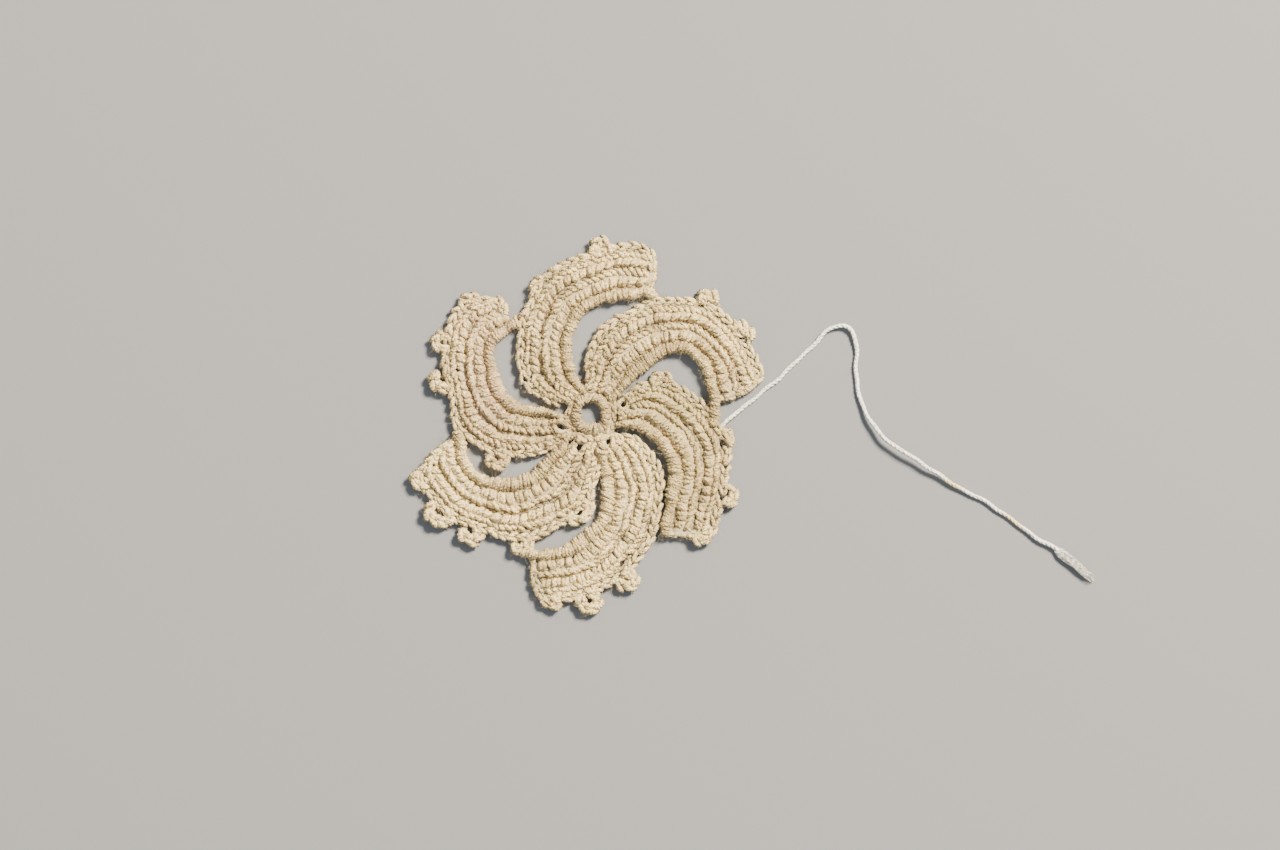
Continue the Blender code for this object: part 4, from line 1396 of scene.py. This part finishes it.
def picot_chain(x, y, length, breadth, turn_deg, seed):
    """A chain around most of an oval: (a cos t, b sin t), turned, from rim to rim.

    It runs clockwise, so that left is outwards, and the gap in it faces the ring. The chain is just
    broad enough to leave only a slit in the middle of the loop.
    """
    rng = np.random.default_rng(seed)
    t = np.radians(np.linspace(90 + PICOT_REACH_DEG, 90 - PICOT_REACH_DEG, PICOT_STEPS))
    half = min((length + 2 * PICOT_OVER_MM - PICOT_SLIT_MM) / 4, PICOT_HALF_MM)
    a = length / 2 + PICOT_OVER_MM - half
    b = max(breadth - 2 * half + PICOT_ROOT_MM, PICOT_SHORTEST_MM)
    turn = math.radians(turn_deg)
    out = np.array([-math.sin(turn), math.cos(turn)])
    facing = math.copysign(1, out @ [x, y])
    middle = np.array([x, y]) + out * facing * (breadth / 2 + PICOT_OVER_MM - half - b)
    wave = 1 + PICOT_WAVE * np.sin(PICOT_WAVES * t + rng.uniform(0, 2 * math.pi))
    oval = ((a * wave * np.cos(t) * facing)[:, None] * [math.cos(turn), math.sin(turn)]
            + (b * wave * np.sin(t) * facing)[:, None] * out) + middle + RING_AT
    stitch = PICOT_STITCH._replace(radius=PICOT_RADIUS_SHARE * half)
    return chain(line_through(oval), PICOT_APART_SHARE * half, PICOT_SWING_SHARE * half, stitch,
                 PICOT_PITCH_MM, seed)


loops = [one for number, picot in enumerate(PICOTS)
         for one in picot_chain(*picot, PICOT_SEED + PICOT_SEED_STEP * number)]
picots = add_piece("picots", thread_mesh("picots", loops), worked_thread)

# %% [markdown]
# ## The ring
# The work starts at the ring: turns of thread over a padding, around a small squarish hole, with a
# thin chain around them where the blades begin.

# %% The ring
RING_HOLE_MM = 1.22
RING_WRAP_MM = 2.9
RING_CHAIN_MM = 3.2
RING_TURNS = 42
SQUARENESS = 0.15
RING_STITCH = Stitch(middle=0.86, rise=0.55, radius=0.285, tone=0.15)
RING_CHAIN_STITCH = Stitch(middle=0.80, rise=0.20, radius=0.25, tone=0.5)
RING_CHAIN_APART_MM = 0.16
RING_CHAIN_SWING_MM = 0.15
RING_CHAIN_PITCH_MM = 1.25
RING_SEED = 9000
RING_CHAIN_SEED = 9100


def squarish(angle, hole):
    """The distance of a squarish hole's edge from its middle: hole * (1 - squareness * cos(4 angle))."""
    return hole * (1 - SQUARENESS * np.cos(4 * angle))


def ring_row():
    """A clockwise closed row between the squarish hole and the circle of the wraps."""
    angle = clockwise(CIRCLE_STEPS)
    inner, outer = squarish(angle, RING_HOLE_MM), RING_WRAP_MM
    middle, half_width = (inner + outer) / 2, (outer - inner) / 2
    flat = np.column_stack([middle * np.cos(angle), middle * np.sin(angle)]) + RING_AT
    return Row(line_through(flat[:-1], closed=True), half_width)


def circle_line(radius):
    """A clockwise circle around the ring's middle."""
    angle = clockwise(CIRCLE_STEPS)[:-1]
    return line_through(np.column_stack([np.cos(angle), np.sin(angle)]) * radius + RING_AT, closed=True)


around_hole = ring_row()
ring_turns = wind(around_hole.line, around_hole.half_width, RING_TURNS, RING_STITCH, RING_SEED,
                  pair=0.05, lean=0.05, taper=0.3)
ring_chain = chain(circle_line(RING_CHAIN_MM), RING_CHAIN_APART_MM, RING_CHAIN_SWING_MM,
                   RING_CHAIN_STITCH, RING_CHAIN_PITCH_MM, RING_CHAIN_SEED)
ring = add_piece("ring", thread_mesh("ring", [ring_turns, *ring_chain]), worked_thread)

# %% [markdown]
# ## The fuzz
# Old cotton is never clean edged: fine fibres stand off from every thread. Each is a hair of three
# sides that starts on a thread, leaves it sideways and curls. They are too fine to be told apart,
# but together they soften every edge. The long ones stand off from the cords, the rims and the
# picots. The short ones are the nap on top of the rows.

# %% The fuzz
Hair = namedtuple("Hair", "count points radius shortest longest lowest start_height seed")
LONG_HAIR = Hair(4000, 5, 0.015, 0.4, 1.5, -0.25, 0.5, 77)
NAP_HAIR = Hair(3600, 4, 0.019, 0.3, 0.8, -0.05, 1.15, 78)
HAIR_SIDES = 3
HAIR_EVERY = 3
HAIR_HIGHEST = 0.7
HAIR_BENDS = (1.5, 5)
HAIR_CURL_MM = 0.25
HAIR_TWIST = 0.3
HAIR_TAPER = 0.6
HAIR_TONE = 0.9
HAIR_LOWEST_MM = 0.04


def hairs_on(threads, hair):
    """Hairs: start + out * reach * way + side * curl * sin(bend * way), thinner to the end."""
    rng = np.random.default_rng(hair.seed)
    starts = np.vstack([settled(one.path[::HAIR_EVERY]) for one in threads])
    starts = starts[starts[:, 2] > hair.start_height]
    starts = starts[rng.integers(0, len(starts), hair.count)]
    way = np.linspace(0, 1, hair.points)
    turn = rng.uniform(0, 2 * math.pi, hair.count)
    rise = rng.uniform(hair.lowest, HAIR_HIGHEST, hair.count)
    reach = rng.uniform(hair.shortest, hair.longest, hair.count)
    bend = rng.uniform(*HAIR_BENDS, hair.count)
    curl = rng.normal(0, HAIR_CURL_MM, hair.count)
    hairs = []
    for number in range(hair.count):
        out = np.array([math.cos(turn[number]), math.sin(turn[number]), rise[number]])
        side = np.array([-out[1], out[0], HAIR_TWIST])
        path = (starts[number] + out * (reach[number] * way)[:, None]
                + side * (curl[number] * np.sin(bend[number] * way))[:, None])
        path[:, 2] = np.maximum(path[:, 2], HAIR_LOWEST_MM)
        hairs.append(strand(path, path - side, hair.radius * (1 - HAIR_TAPER * way), HAIR_TONE, number))
    return hairs


fuzz_hairs = hairs_on(cords + rims + loops, LONG_HAIR)
fuzz = add_piece("fuzz", mesh_from_strands("fuzz", fuzz_hairs, HAIR_SIDES), worked_thread)
nap_hairs = hairs_on(rows_worked + cords, NAP_HAIR)
nap = add_piece("nap", mesh_from_strands("nap", nap_hairs, HAIR_SIDES), worked_thread)

# %% [markdown]
# ## The cloth
# The ground is the sheet of this textile, and all the loops are pieces on it. Its flat area is less
# than that of the rectangle around it, because the gaps between the blades are open.

# %% [markdown]
# ## The floor and the light
# A plain grey floor, and soft light from the upper right as in the photograph: one broad lamp for
# the shadows, a weak one opposite, and a dim even sky. Each lamp's row gives its place, its width
# in metres, its power and its colour.

# %% The floor and the light
FLOOR_WIDTH = 4.0
FLOOR_FINISH = {"Base Color": (0.20, 0.197, 0.195, 1), "Roughness": 0.9}
LAMPS = {
    "key": ((0.55, 0.55, 0.75), 0.24, 63.0, (1.0, 0.92, 0.78)),
    "fill": ((-0.7, -0.4, 0.8), 0.8, 3.0, (0.9, 0.95, 1.0)),
}
SKY_COLOUR = (0.80, 0.90, 1.0, 1)
SKY_STRENGTH = 0.55


def make_floor():
    """A wide plain floor under the work."""
    bpy.ops.mesh.primitive_plane_add(size=FLOOR_WIDTH, location=(0, 0, 0))
    floor = bpy.context.object
    floor.name = "floor"
    floor.data.materials.append(new_material("floor", FLOOR_FINISH)[0])


def make_lamp(name, place, size, power, colour):
    """A square lamp at the place that looks at the origin."""
    data = bpy.data.lights.new(name, "AREA")
    data.size = size
    data.energy = power
    data.color = colour
    lamp = bpy.data.objects.new(name, data)
    place = np.array(place)
    lamp.location = place
    across, up = math.atan2(place[1], place[0]), math.acos(place[2] / np.linalg.norm(place))
    lamp.rotation_euler = (0, up, across)
    bpy.context.scene.collection.objects.link(lamp)


def make_sky():
    """An even pale sky."""
    world = bpy.data.worlds.new("sky")
    world.use_nodes = True
    background = world.node_tree.nodes["Background"]
    background.inputs["Color"].default_value = SKY_COLOUR
    background.inputs["Strength"].default_value = SKY_STRENGTH
    bpy.context.scene.world = world


make_floor()
for name, values in LAMPS.items():
    make_lamp(name, *values)
make_sky()
